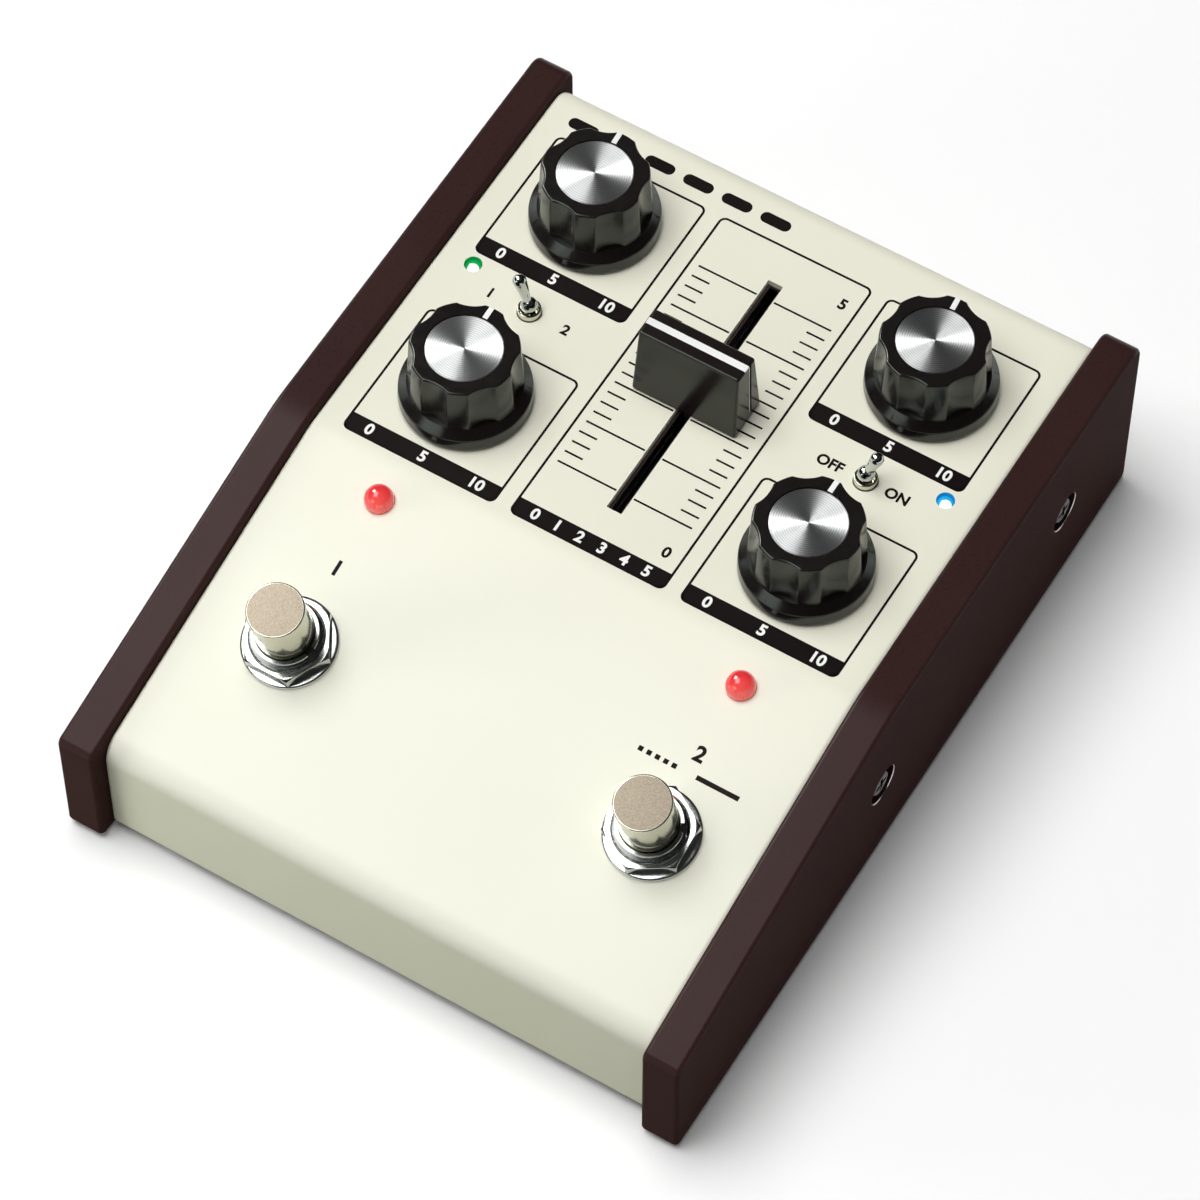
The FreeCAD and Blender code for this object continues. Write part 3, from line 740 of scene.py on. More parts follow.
@dataclass(frozen=True)
class SpunMetal:
    """Bare metal with fine rings about a point, as a turned disc has, with painted shade in the rings'
    valleys.

    Attributes:
        name: The material's name.
        centre: The middle of the rings.
        colour: The metal's colour.
        valley: How bright the rings' valleys are against it.
        gloss: The least and the most roughness.
        pitch: The distance between rings.
        height: How deep the rings are.
        blotch: How many soft blotches there are in a metre.
        uneven: How far they shift the colour.
        drawn: How much the rings draw the glints out, from 0 to 1.
        turn: The way that they are drawn out, as a share of a turn from along the rings.
    """

    name: str
    centre: Point
    colour: Colour = (0.86, 0.87, 0.87)
    valley: float = 0.72
    gloss: Span = (0.34, 0.42)
    pitch: float = 0.40 * MM
    height: float = 0.013 * MM
    blotch: float = 900.0
    uneven: float = 0.03
    drawn: float = 0.9
    turn: float = 0.25

    def material(self) -> bpy.types.Material:
        """Build the material.

        Returns:
            The material.
        """
        sheet = MaterialSheet(self.name)
        where = sheet.place(self.centre)
        waves = sheet.node("TexWave", wave_type="RINGS", rings_direction="Z")
        waves.inputs["Scale"].default_value = WAVE_PITCH / self.pitch
        sheet.link(where, waves.inputs["Vector"])
        rings = waves.outputs["Fac"]
        soft = sheet.span(sheet.noise(where, self.blotch), -self.uneven, self.uneven)
        share = sheet.maths("ADD", soft, rings, use_clamp=True)
        # Painted shade: the rings' valleys are darker than the metal's colour.
        dark = tuple(self.valley * part for part in self.colour)
        sheet.feed(
            Base_Color=sheet.blend(share, self.colour, dark),
            Roughness=sheet.span(rings, *self.gloss, 0, 1),
            Tangent=self.tangent(sheet, where),
        )
        sheet.bump(rings, self.height)
        sheet.shade(Metallic=1.0, Anisotropic=self.drawn, Anisotropic_Rotation=self.turn)
        return sheet.material

    def tangent(self, sheet: MaterialSheet, where: Socket) -> Socket:
        """Give the direction along the rings.

        Args:
            sheet: The material's sheet.
            where: The place socket, measured from the centre.

        Returns:
            The direction's socket.
        """
        across = sheet.node("VectorMath", operation="CROSS_PRODUCT")
        across.inputs[0].default_value = (0, 0, 1)
        sheet.link(where, across.inputs[1])
        turned = sheet.node(
            "VectorTransform", vector_type="VECTOR", convert_from="OBJECT", convert_to="WORLD"
        )
        sheet.link(across.outputs[0], turned.inputs[0])
        return turned.outputs[0]


@dataclass(frozen=True)
class Lens:
    """The clear coloured plastic of a lamp, with the light inside it.

    Attributes:
        name: The material's name.
        colour: The plastic's colour.
        core: The colour of its bright part.
        middle: The centre of its bright part.
        reach: How far the bright part reaches from its centre.
        edge: How wide its border is.
        glow: The strength of the light.
        gloss: The plastic's roughness.
        coat: The strength and the roughness of its clear surface.
        waves: How many soft waves its surface has in a metre.
        height: How high they stand.
    """

    name: str
    colour: Colour
    core: Colour
    middle: Point
    reach: float
    edge: float
    glow: float
    gloss: float = 0.12
    coat: Span = (0.6, 0.05)
    waves: float = 700.0
    height: float = 0.002 * MM

    def material(self) -> bpy.types.Material:
        """Build the material.

        Returns:
            The material.
        """
        sheet = MaterialSheet(self.name)
        where = sheet.place(self.middle)
        share = sheet.span(sheet.distance(where), 0, 1, self.reach, self.reach + self.edge)
        tint = sheet.blend(share, self.core, self.colour)
        sheet.feed(Base_Color=tint, Emission_Color=tint)
        sheet.bump(sheet.noise(where, self.waves), self.height)
        coat, rough = self.coat
        sheet.shade(Emission_Strength=self.glow, Roughness=self.gloss)
        sheet.shade(Coat_Weight=coat, Coat_Roughness=rough)
        return sheet.material


class Finishes:
    """All the materials, each built once."""

    def __init__(self) -> None:
        """Build every material."""
        # The cream's first colour is the front's painted light and its second the rear's: one paint,
        # whiter at the front and yellower at the rear.
        self.cream = CreamPaint(
            "cream_paint", (0.81, 0.81, 0.69), (0.80, 0.79, 0.66), gloss=(0.34, 0.44), grain=1900,
            height=0.003 * MM, shine=0.15,
        ).material()
        self.cheek = Finish(
            "cheek_brown", (0.031, 0.0135, 0.0125), (0.035, 0.0155, 0.0145), gloss=(0.27, 0.35),
            grain=2600, shine=0.09,
        ).material()
        # A lit copy of the cheek paint: the outer sides get a lighter colour than the tops, as painted
        # light.
        self.cheek_side = Finish(
            "cheek_side_brown", (0.042, 0.019, 0.0165), (0.048, 0.022, 0.019), gloss=(0.58, 0.66),
            grain=2600, shine=0.015,
        ).material()
        # Painted light: the walls of the small lamps' holes are coloured and made to glow as if lit by
        # the lamps.
        self.green_wall = Finish(
            "green_lit_wall", (0.01, 0.38, 0.10), (0.02, 0.34, 0.10), gloss=(0.4, 0.5), glow=0.25
        ).material()
        self.blue_wall = Finish(
            "blue_lit_wall", (0.01, 0.30, 0.56), (0.02, 0.28, 0.52), gloss=(0.4, 0.5), glow=0.25
        ).material()
        self.knob = Finish(
            "knob_black", (0.008, 0.006, 0.006), (0.011, 0.009, 0.008), gloss=(0.16, 0.22), grain=900,
            height=0.0008 * MM, tint=(0.82, 0.95, 0.84),
        ).material()
        self.cap = Finish(
            "cap_black", (0.010, 0.007, 0.007), (0.013, 0.010, 0.009), gloss=(0.17, 0.22), grain=1600,
            height=0.0006 * MM, shine=0.38, tint=(0.85, 0.97, 0.86),
        ).material()
        self.white = Finish(
            "inlay_white", (0.86, 0.86, 0.85), (0.80, 0.80, 0.79), gloss=(0.35, 0.45), grain=1200,
            height=0.002 * MM,
        ).material()
        self.ink = Finish(
            "ink_black", (0.006, 0.004, 0.004), (0.008, 0.006, 0.005), gloss=(0.40, 0.5), grain=1900,
            height=0.001 * MM, shine=0.06,
        ).material()
        self.ink_white = Finish(
            "ink_white", (0.88, 0.88, 0.85), (0.84, 0.84, 0.80), gloss=(0.4, 0.5), grain=1900,
            height=0.003 * MM,
        ).material()
        self.chrome = Finish(
            "bright_chrome", (0.56, 0.59, 0.57), (0.51, 0.54, 0.52), gloss=(0.05, 0.10), metal=1.0,
            grain=500, height=0.0002 * MM,
        ).material()
        self.plated = Finish(
            "soft_plating", (0.64, 0.66, 0.635), (0.57, 0.59, 0.57), gloss=(0.13, 0.20), metal=1.0,
            grain=700, height=0.0006 * MM,
        ).material()
        self.nickel = Finish(
            "nickel_plate", (0.66, 0.65, 0.53), (0.60, 0.59, 0.48), gloss=(0.09, 0.15), metal=1.0,
            grain=600, height=0.0003 * MM,
        ).material()
        self.button = Finish(
            "button_face", (0.305, 0.262, 0.20), (0.24, 0.206, 0.158), gloss=(0.42, 0.55), metal=1.0,
            blotch=3600, grain=5000, height=0.006 * MM,
        ).material()
        self.steel = Finish(
            "plain_steel", (0.50, 0.49, 0.47), (0.42, 0.41, 0.40), gloss=(0.28, 0.42), metal=1.0,
            grain=500, height=0.002 * MM,
        ).material()
        self.screw = Finish(
            "screw_steel", (0.075, 0.065, 0.06), (0.05, 0.045, 0.04), gloss=(0.14, 0.22), metal=1.0,
            grain=700, height=0.001 * MM,
        ).material()
        # A painted highlight: bright metal on the chamfer round the cheek screws' recesses, standing in
        # for the light line along their rims.
        self.worn = Finish(
            "worn_edge", (0.66, 0.64, 0.62), (0.56, 0.54, 0.52), gloss=(0.22, 0.32), metal=1.0,
            grain=700, height=0.001 * MM,
        ).material()
        self.zinc = Finish(
            "zinc_plate", (0.52, 0.52, 0.50), (0.40, 0.40, 0.39), gloss=(0.35, 0.55), metal=1.0,
            blotch=120, grain=700, height=0.002 * MM, stretch=(1, 0.1, 1),
        ).material()
        self.socket = Finish(
            "socket_black", (0.014, 0.014, 0.014), (0.022, 0.021, 0.020), height=0.003 * MM
        ).material()
        self.rubber = Finish(
            "foot_rubber", (0.020, 0.020, 0.020), (0.034, 0.033, 0.032), gloss=(0.65, 0.85), grain=1200,
            height=0.012 * MM, shine=0.3,
        ).material()
        self.seal = Finish(
            "seal_black", (0.032, 0.021, 0.018), (0.040, 0.027, 0.023), gloss=(0.55, 0.7), grain=2500,
            height=0.01 * MM, stretch=(1, 0.2, 1), shine=0.3,
        ).material()
        self.board = Finish(
            "board_green", (0.015, 0.10, 0.04), (0.025, 0.16, 0.06), gloss=(0.25, 0.4), blotch=150
        ).material()
        self.ribbon = Finish(
            "ribbon_grey", (0.30, 0.30, 0.29), (0.20, 0.20, 0.20), gloss=(0.4, 0.5), grain=800,
            height=0.02 * MM, stretch=(1, 0.02, 0.02),
        ).material()


@dataclass
class Place:
    """Where the two panels of the case are.

    Attributes:
        panel: The height of the flat rear panel.
        fold: Where the sloping front panel begins, along Y.
        slope: How steep the front panel is, in degrees.
    """

    panel: float = 39.1 * MM
    fold: float = -8.55 * MM
    slope: float = 12.4

    def rear(self, piece: Piece, x: float, y: float, turn: float = 0) -> Piece:
        """Put a piece, modelled on Z = 0 and turned about Z in degrees, on the rear panel."""
        return Bench.place(piece, (x, y, self.panel), (0, 0, turn))

    def front(self, piece: Piece, x: float, down: float) -> Piece:
        """Put a piece on the sloping front panel.

        Args:
            piece: The object, modelled on Z = 0.
            x: Its place along X.
            down: How far down the slope it is from the fold.

        Returns:
            The same object.
        """
        angle = math.radians(self.slope)
        place = (x, self.fold - down * math.cos(angle), self.panel - down * math.sin(angle))
        return Bench.place(piece, place, (self.slope, 0, 0))

    def up(self) -> Vector:
        """Give the direction that stands square on the front panel."""
        angle = math.radians(self.slope)
        return Vector((0, -math.sin(angle), math.cos(angle)))


@dataclass
class Assembly:
    """What every sub-assembly works with.

    Attributes:
        frame: The loaded CAD frame.
        looks: The materials.
        at: Where the panels are.
    """

    frame: dict
    looks: Finishes
    at: Place = field(default_factory=Place)

    def build(self) -> None:
        """Build and dress every piece of the sub-assembly."""
        raise NotImplementedError

    def finish(
        self, piece: Piece, material: bpy.types.Material, body: str, slot: str = "", *nodes: str
    ) -> None:
        """Give a piece its material and hand it to the frame.

        Args:
            piece: The finished object.
            material: Its material.
            body: The body it rides on.
            slot: The record's material slot, or nothing. It is not used.
            nodes: The CAD nodes it stands for.
        """
        piece.data.materials.clear()
        piece.data.materials.append(material)
        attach(piece, body)
        if nodes:
            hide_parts(*nodes)
        log.info("%s: %d faces on %s", piece.name, len(piece.data.polygons), body)

    def accent(self, piece: Piece, material: bpy.types.Material, test: Test) -> None:
        """Give some faces of a finished piece another material.

        Args:
            piece: The finished object.
            material: The other material.
            test: Says from a face's middle and normal whether it changes.
        """
        piece.data.materials.append(material)
        slot = len(piece.data.materials) - 1
        faces = [face for face in piece.data.polygons if test(face.center, face.normal)]
        for face in faces:
            face.material_index = slot
        log.info("%s: %d faces in %s", piece.name, len(faces), material.name)


@dataclass
class Case(Assembly):
    """The folded case, its cheeks and their screws.

    Attributes:
        outer: How far the cheeks' outer faces are from the middle.
        rim: The width of the chamfer round a screw's recess.
        recess: The radius that a recess stays inside.
        mouth: The radius that its chamfer stays inside.
        screw_up: The height of the cheek screws.
        screw_ys: Their two places along Y.
        screw_edge: The rounding of their edges.
        lamp: Where the right small lamp is, along X and Y. The left one mirrors it.
        lamp_hole: The radius that a small lamp's hole stays inside.
        lamp_low: A height under the panel's sheet.
        upright: How far up a face's normal may point if the face counts as upright.
        sloping: How far sideways the normal of the chamfer's faces points, at least and at most.
    """

    outer: float = 58.1 * MM
    rim: float = 0.12 * MM
    recess: float = 3.7 * MM
    mouth: float = 4.0 * MM
    screw_up: float = 20.9 * MM
    screw_ys: Span = (-10.05 * MM, 50.65 * MM)
    screw_edge: float = 0.10 * MM
    lamp: Span = (45.0 * MM, 31.85 * MM)
    lamp_hole: float = 1.7 * MM
    lamp_low: float = 35 * MM
    upright: float = 0.3
    sloping: Span = (0.3, 0.9)

    def build(self) -> None:
        """Build and dress the case."""
        shell = Bench.smooth(Bench.from_frame(self.frame, "shell", "case_shell"))
        self.finish(shell, self.looks.cream, BODY_CASE, "cream_paint", "shell")
        # Painted light from the small lamps on the walls of their holes.
        self.accent(shell, self.looks.green_wall, lambda place, way: self.in_lamp_hole(place, way, -1))
        self.accent(shell, self.looks.blue_wall, lambda place, way: self.in_lamp_hole(place, way, 1))
        for node in ("left_cheek", "right_cheek"):
            cheek = self.cheek(node)
            self.finish(cheek, self.looks.cheek, BODY_CASE, "cheek_brown", node)
            # Painted light: the outer sides get a lighter copy of the same paint.
            self.accent(cheek, self.looks.cheek_side, lambda place, way: abs(way.z) < self.upright)
            # Painted highlight on the chamfer round each screw's recess.
            self.accent(cheek, self.looks.worn, self.on_recess_rim)
        screws = Bench.from_frame(self.frame, "cheek_screws", "cheek_screw_heads")
        Bench.round_edges(screws, self.screw_edge, angle=40)
        Bench.smooth(screws, angle=35)
        self.finish(screws, self.looks.screw, BODY_CASE, "screw_steel", "cheek_screws")

    def cheek(self, node: str) -> Piece:
        """Make a cheek of its CAD node, with a fine chamfer round each screw's recess.

        Args:
            node: The CAD node.

        Returns:
            The cheek.
        """
        cheek = Bench.from_frame(self.frame, node, node + "_side")
        Bench.edit(cheek, select=False)
        Bench.pick(cheek, Element.EDGE, self.on_recess_edge)
        bpy.ops.mesh.bevel(offset=self.rim, segments=1, affect="EDGES")
        Bench.close()
        return Bench.smooth(cheek)

    def near_screw(self, place: Vector) -> float:
        """Give the distance of a place from the nearest cheek screw's axis."""
        return min(math.hypot(place.y - y, place.z - self.screw_up) for y in self.screw_ys)

    def on_recess_edge(self, place: Vector, way: Vector) -> bool:
        """Say whether an edge lies round the mouth of a screw's recess."""
        return abs(place.x) > self.outer - WELD and self.near_screw(place) < self.recess

    def on_recess_rim(self, place: Vector, way: Vector) -> bool:
        """Say whether a face belongs to the chamfer round a screw's recess."""
        outside = abs(place.x) > self.outer - self.rim and self.near_screw(place) < self.mouth
        return outside and self.sloping[0] < abs(way.x) < self.sloping[1]

    def in_lamp_hole(self, place: Vector, way: Vector, side: int) -> bool:
        """Say whether a face is the wall of a small lamp's hole.

        Args:
            place: The face's middle.
            way: Its normal.
            side: -1 for the left lamp and 1 for the right one.

        Returns:
            Whether it is.
        """
        x, y = self.lamp
        near = math.hypot(place.x - side * x, place.y - y) < self.lamp_hole
        return near and place.z > self.lamp_low and abs(way.z) < self.upright


@dataclass(frozen=True)
class Dial:
    """Where one knob is and how it is turned.

    Attributes:
        name: Its name.
        x: Its place along X.
        y: Its place along Y.
        flutes: How far its flutes are turned against the pointer, in degrees.
        rest: How far the pointer is turned from the rear, in degrees.
    """

    name: str
    x: float
    y: float
    flutes: float
    rest: float


@dataclass
class Knob(Assembly):
    """The four fluted knobs, each with a skirt, a spun metal disc and a pointer.

    Attributes:
        dials: Where the knobs are.
        under: The height of a knob's lower edge over the panel.
        skirt: The skirt's radius at its lower edge.
        skirt_top: Where the skirt's short upright side ends.
        shoulder: The rounding over that side, as radii under the skirt's and heights over its top.
        foot: The chamfer of the skirt's lower edge.
        waist: Where the fluted body begins.
        lobe: The fluted body's radius at the waist.
        draft: How much narrower the body is at the top.
        flutes: How many flutes there are.
        flute_half: Half of a flute's width, in degrees.
        flute_depth: How deep a flute is.
        flute_shares: Where a flute's corners are, from -1 to 1 across it.
        lobe_shares: Where the corners between two flutes are, from 0 to 1.
        top: The height of the top.
        edge: The rounding of the top edge.
        seat: The radius of the disc's seat.
        hollow: The radius and the height of the hollow underneath.
        bore: The radius and the height of the shaft's bore.
        disc: The disc's radius.
        disc_top: The height of the disc's top.
        disc_thick: The disc's thickness.
        disc_edge: The chamfer of the disc's edge.
        pointer: Half of the pointer's width.
        pointer_start: Where the pointer begins.
        pointer_gap: How far it ends before the body's edge.
        pointer_deep: How deep it sits in the top.
        pointer_high: How high it stands over the top.
        pointer_edge: The rounding of its edges.
    """

    dials: tuple[Dial, ...] = (
        Dial("rear_left", -32.2 * MM, 49.75 * MM, -8.5, 3.5),
        Dial("front_left", -32.2 * MM, 8.95 * MM, -3.0, 2.0),
        Dial("rear_right", 32.2 * MM, 49.75 * MM, 1.0, 5.0),
        Dial("front_right", 32.2 * MM, 8.95 * MM, 6.0, 0.0),
    )
    under: float = 0.9 * MM
    skirt: float = 11.2 * MM
    skirt_top: float = 3.3 * MM
    shoulder: Profile = ((0.42, 0.14), (0.24, 0.02), (0.13, -0.14), (0.08, -0.34))
    foot: float = 0.2 * MM
    waist: float = 4.6 * MM
    lobe: float = 9.7 * MM
    draft: float = 0.5 * MM
    flutes: int = 7
    flute_half: float = 15.0
    flute_depth: float = 0.8 * MM
    flute_shares: tuple[float, ...] = (-0.97, -0.8, -0.6, -0.4, -0.2, 0.0, 0.2, 0.4, 0.6, 0.8, 0.97)
    lobe_shares: tuple[float, ...] = (0.02, 0.14, 0.28, 0.42, 0.58, 0.72, 0.86, 0.98)
    top: float = 14.0 * MM
    edge: float = 0.4 * MM
    seat: float = 6.6 * MM
    hollow: Span = (7.2 * MM, 4.2 * MM)
    bore: Span = (3.05 * MM, 12.05 * MM)
    disc: float = 6.45 * MM
    disc_top: float = 13.9 * MM
    disc_thick: float = 0.5 * MM
    disc_edge: float = 0.12 * MM
    pointer: float = 0.45 * MM
    pointer_start: float = 6.62 * MM
    pointer_gap: float = 0.2 * MM
    pointer_deep: float = 0.4 * MM
    pointer_high: float = 0.03 * MM
    pointer_edge: float = 0.02 * MM

    def corners(self) -> list[Point]:
        """Give the corners of the fluted outline at the waist, in order.

        Returns:
            The corners' places.
        """
        half = math.radians(self.flute_half)
        chord = self.lobe * math.sin(half)
        sag = self.flute_depth - self.lobe * (1 - math.cos(half))
        radius = (chord**2 + sag**2) / (2 * sag)
        centre = self.lobe - self.flute_depth + radius
        reach = math.asin(chord / radius)
        pitch = math.tau / self.flutes
        found: list[Point] = []
        for number in range(self.flutes):
            middle = math.pi / 2 + pitch * (number + 0.5)
            for share in self.flute_shares:
                x = centre - radius * math.cos(reach * share)
                found.append(self.turned(x, radius * math.sin(reach * share), middle))
            for share in self.lobe_shares:
                angle = half + (pitch - 2 * half) * share
                found.append(self.turned(self.lobe, 0, middle + angle))
        return found

    def turned(self, x: float, y: float, angle: float) -> Point:
        """Turn a corner about Z, at the waist's height."""
        c, s = math.cos(angle), math.sin(angle)
        return (x * c - y * s, x * s + y * c, self.waist)

    def step(self, scale: float, lift: float) -> None:
        """Grow the selected ring of edges by a lift, and scale the new one about the axis."""
        bpy.ops.mesh.extrude_region_move(TRANSFORM_OT_translate={"value": (0, 0, lift)})
        bpy.ops.transform.resize(value=(scale, scale, 1), center_override=(0, 0, 0))

    def to_circle(self, piece: Piece, radius: float) -> None:
        """Grow the selected ring of edges into a circle at the same height.

        Args:
            piece: The object in edit mode.
            radius: The circle's radius.
        """
        self.step(1.0, 0.0)
        ring = Bench.selected(piece)
        alike: dict[float, list[int]] = {}
        for number, place in ring.items():
            alike.setdefault(round(place.xy.length / WELD), []).append(number)
        for numbers in alike.values():
            scale = radius / ring[numbers[0]].xy.length
            Bench.select(piece, numbers)
            bpy.ops.transform.resize(value=(scale, scale, 1), center_override=(0, 0, 0))
        Bench.select(piece, ring)

    def model_body(self) -> Piece:
        """Model a knob without its disc, at the origin.

        Returns:
            The knob.
        """
        corners = self.corners()
        knob = Bench.outline("knob", corners + corners[:1])
        bpy.ops.mesh.remove_doubles(threshold=WELD)
        bpy.ops.mesh.select_all(action="SELECT")
        self.to_circle(knob, self.lobe)
        height, radius = self.waist, self.lobe
        for r, z in self.lower_profile():
            self.step(r / radius, z - height)
            height, radius = z, r
        bpy.ops.mesh.edge_face_add()
        bpy.ops.mesh.select_all(action="DESELECT")
        bpy.ops.mesh.select_mode(type="EDGE")
        bpy.ops.mesh.select_non_manifold(
            extend=False, use_wire=False, use_boundary=True, use_multi_face=False,
            use_non_contiguous=False, use_verts=False,
        )
        scale, height = 1.0, self.waist
        for s, z in self.upper_profile():
            self.step(s / scale, z - height)
            scale, height = s, z
        self.to_circle(knob, self.seat)
        self.step(1.0, self.disc_top - self.disc_thick - self.top)
        bpy.ops.mesh.edge_face_add()
        Bench.tidy_mesh()
        Bench.close()
        return Bench.smooth(knob, angle=28)

    def lower_profile(self) -> list[Span]:
        """Give the (radius, height) steps from the waist down and up into the bore.

        Returns:
            The steps in order.
        """
        rows = [(self.skirt - inset * MM, self.skirt_top + lift * MM) for inset, lift in self.shoulder]
        rows += [(self.skirt, self.under + self.foot), (self.skirt - self.foot, self.under)]
        (hollow, ceiling), (bore, end) = self.hollow, self.bore
        return rows + [(hollow, self.under), (hollow, ceiling), (bore, ceiling), (bore, end)]

    def upper_profile(self) -> list[Span]:
        """Give the (scale, height) steps of the fluted body from the waist to the top."""
        middle = (self.lobe - self.draft - self.edge, self.top - self.edge)
        return [(r / self.lobe, height) for r, height in Bench.arc(middle, self.edge, 0, 90, steps=4)]

    def model_disc(self) -> Piece:
        """Model a disc on the Z axis.

        Returns:
            The disc.
        """
        radius, edge, top = self.disc, self.disc_edge, self.disc_top
        low = top - self.disc_thick
        rows = [(0, low), (radius, low), (radius, top - edge), (radius - edge, top), (0, top)]
        return Bench.smooth(Bench.lathe("disc", rows, FINE))

    def model_pointer(self) -> Piece:
        """Model a pointer that points to the rear.

        Returns:
            The pointer.
        """
        end = self.lobe - self.draft - self.pointer_gap
        pointer = Bench.block(
            "pointer", (-self.pointer, self.pointer_start, self.top - self.pointer_deep),
            (self.pointer, end, self.top + self.pointer_high),
        )
        Bench.round_edges(pointer, self.pointer_edge)
        return pointer

    def build(self) -> None:
        """Model the pieces once, copy them to every knob's place and dress them."""
        bodies = Bench.row(self.model_body(), [dial.name + "_knob_body" for dial in self.dials])
        discs = Bench.row(self.model_disc(), [dial.name + "_disc" for dial in self.dials])
        pointers = Bench.row(self.model_pointer(), [dial.name + "_pointer" for dial in self.dials])
        for dial, knob, disc, pointer in zip(self.dials, bodies, discs, pointers):
            body, node = dial.name + "_dial", dial.name + "_knob"
            self.at.rear(knob, dial.x, dial.y, dial.rest + dial.flutes)
            self.finish(knob, self.looks.knob, body, "knob_black", node)
            self.at.rear(disc, dial.x, dial.y)
            metal = SpunMetal(dial.name + "_spun_disc", (dial.x, dial.y, 0)).material()
            self.finish(disc, metal, body, "spun_disc", node + "_disc")
            self.at.rear(pointer, dial.x, dial.y, dial.rest)
            self.finish(pointer, self.looks.white, body, "pointer_white", node + "_pointer")


@dataclass
class Fader(Assembly):
    """The fader's cap with the white line across it.

    Attributes:
        y: Where the middle of the slot is.
        low: The height of its lower edge.
        top: The height of its top.
        sunk: How far the cap's top lies under the line's.
        base: Half of its length and width at the bottom.
        length: Half of its length at the top.
        front: How far its top reaches to the front.
        rear: How far its top reaches to the rear.
        edge: The rounding of its edges.
        line: The width of the white line.
        line_deep: How deep the line sits in the cap.
        line_edge: The rounding of the line's edges.
        groove: Where the groove in each end starts and stops, along Y.
        groove_low: The height of the grooves' and ribs' lower ends.
        groove_deep: How deep a groove is at the top.
        rib: Where the thin white rib in each end starts and stops, along Y.
        rib_half: Half of a rib's thickness.
        rib_gap: How far a rib ends under the top.
    """

    y: float = 28.45 * MM
    low: float = 0.6 * MM
    top: float = 15.0 * MM
    sunk: float = 0.02 * MM
    base: Span = (9.8 * MM, 4.2 * MM)
    length: float = 9.4 * MM
    front: float = 2.85 * MM
    rear: float = 2.6 * MM
    edge: float = 0.45 * MM
    line: float = 1.3 * MM
    line_deep: float = 0.5 * MM
    line_edge: float = 0.04 * MM
    groove: Span = (0.7 * MM, 1.25 * MM)
    groove_low: float = 2.2 * MM
    groove_deep: float = 0.3 * MM
    rib: Span = (0.5 * MM, 0.68 * MM)
    rib_half: float = 0.06 * MM
    rib_gap: float = 0.3 * MM

    def build(self) -> None:
        """Build and dress the cap and its line."""
        cap = self.at.rear(self.cap(), 0, self.y)
        self.finish(cap, self.looks.cap, "fader", "cap_black", "fader_cap")
        line = self.at.rear(self.white_line(), 0, self.y)
        self.finish(line, self.looks.white, "fader", "pointer_white", "fader_cap_line")

    def cap(self) -> Piece:
        """Model the cap over the origin.

        Returns:
            The cap.
        """
        long, wide = self.base
        cap = Bench.block("cap_body", (-long, -wide, self.low), (long, wide, self.top - self.sunk))
        Bench.edit(cap, select=False)
        Bench.pick(cap, Element.FACE, lambda middle, normal: normal.z > ALONG)
        scale = (self.length / long, (self.front + self.rear) / 2 / wide, 1)
        bpy.ops.transform.resize(value=scale, center_override=(0, 0, self.top))
        bpy.ops.transform.translate(value=(0, (self.rear - self.front) / 2, 0))
        Bench.pick(cap, Element.EDGE, lambda place, way: place.z > self.low + self.edge)
        bpy.ops.mesh.bevel(offset=self.edge, segments=4, affect="EDGES")
        Bench.close()
        start, stop = self.groove
        for side in (-1, 1):
            near, far = sorted((side * (self.length - self.groove_deep), side * (long + MM)))
            groove = Bench.block("groove", (near, start, self.groove_low), (far, stop, self.top + MM))
            Bench.combine(cap, groove, Solver.CUT)
        return Bench.smooth(cap)

    def white_line(self) -> Piece:
        """Model the line on the cap's top and the thin rib in each of its ends.

        Returns:
            The line and the ribs as one piece.
        """
        half, reach = self.line / 2, self.length - self.sunk
        low = (-reach, -half, self.top - self.line_deep)
        stripe = Bench.block("stripe", low, (reach, half, self.top))
        Bench.round_edges(stripe, self.line_edge)
        draft = (self.base[0] - self.length) / (self.top - self.low)
        foot = self.base[0] + draft * self.low
        lean = math.degrees(math.atan(draft))
        start, stop = self.rib
        low = (-self.rib_half, start, self.groove_low)
        pattern = Bench.block("rib", low, (self.rib_half, stop, self.top - self.rib_gap))
        ribs = Bench.row(pattern, ("left_rib", "right_rib"))
        for side, rib in zip((-1, 1), ribs):
            Bench.place(rib, (side * foot, 0, 0), (0, -side * lean, 0))
        return Bench.join("cap_line", [stripe, *ribs])


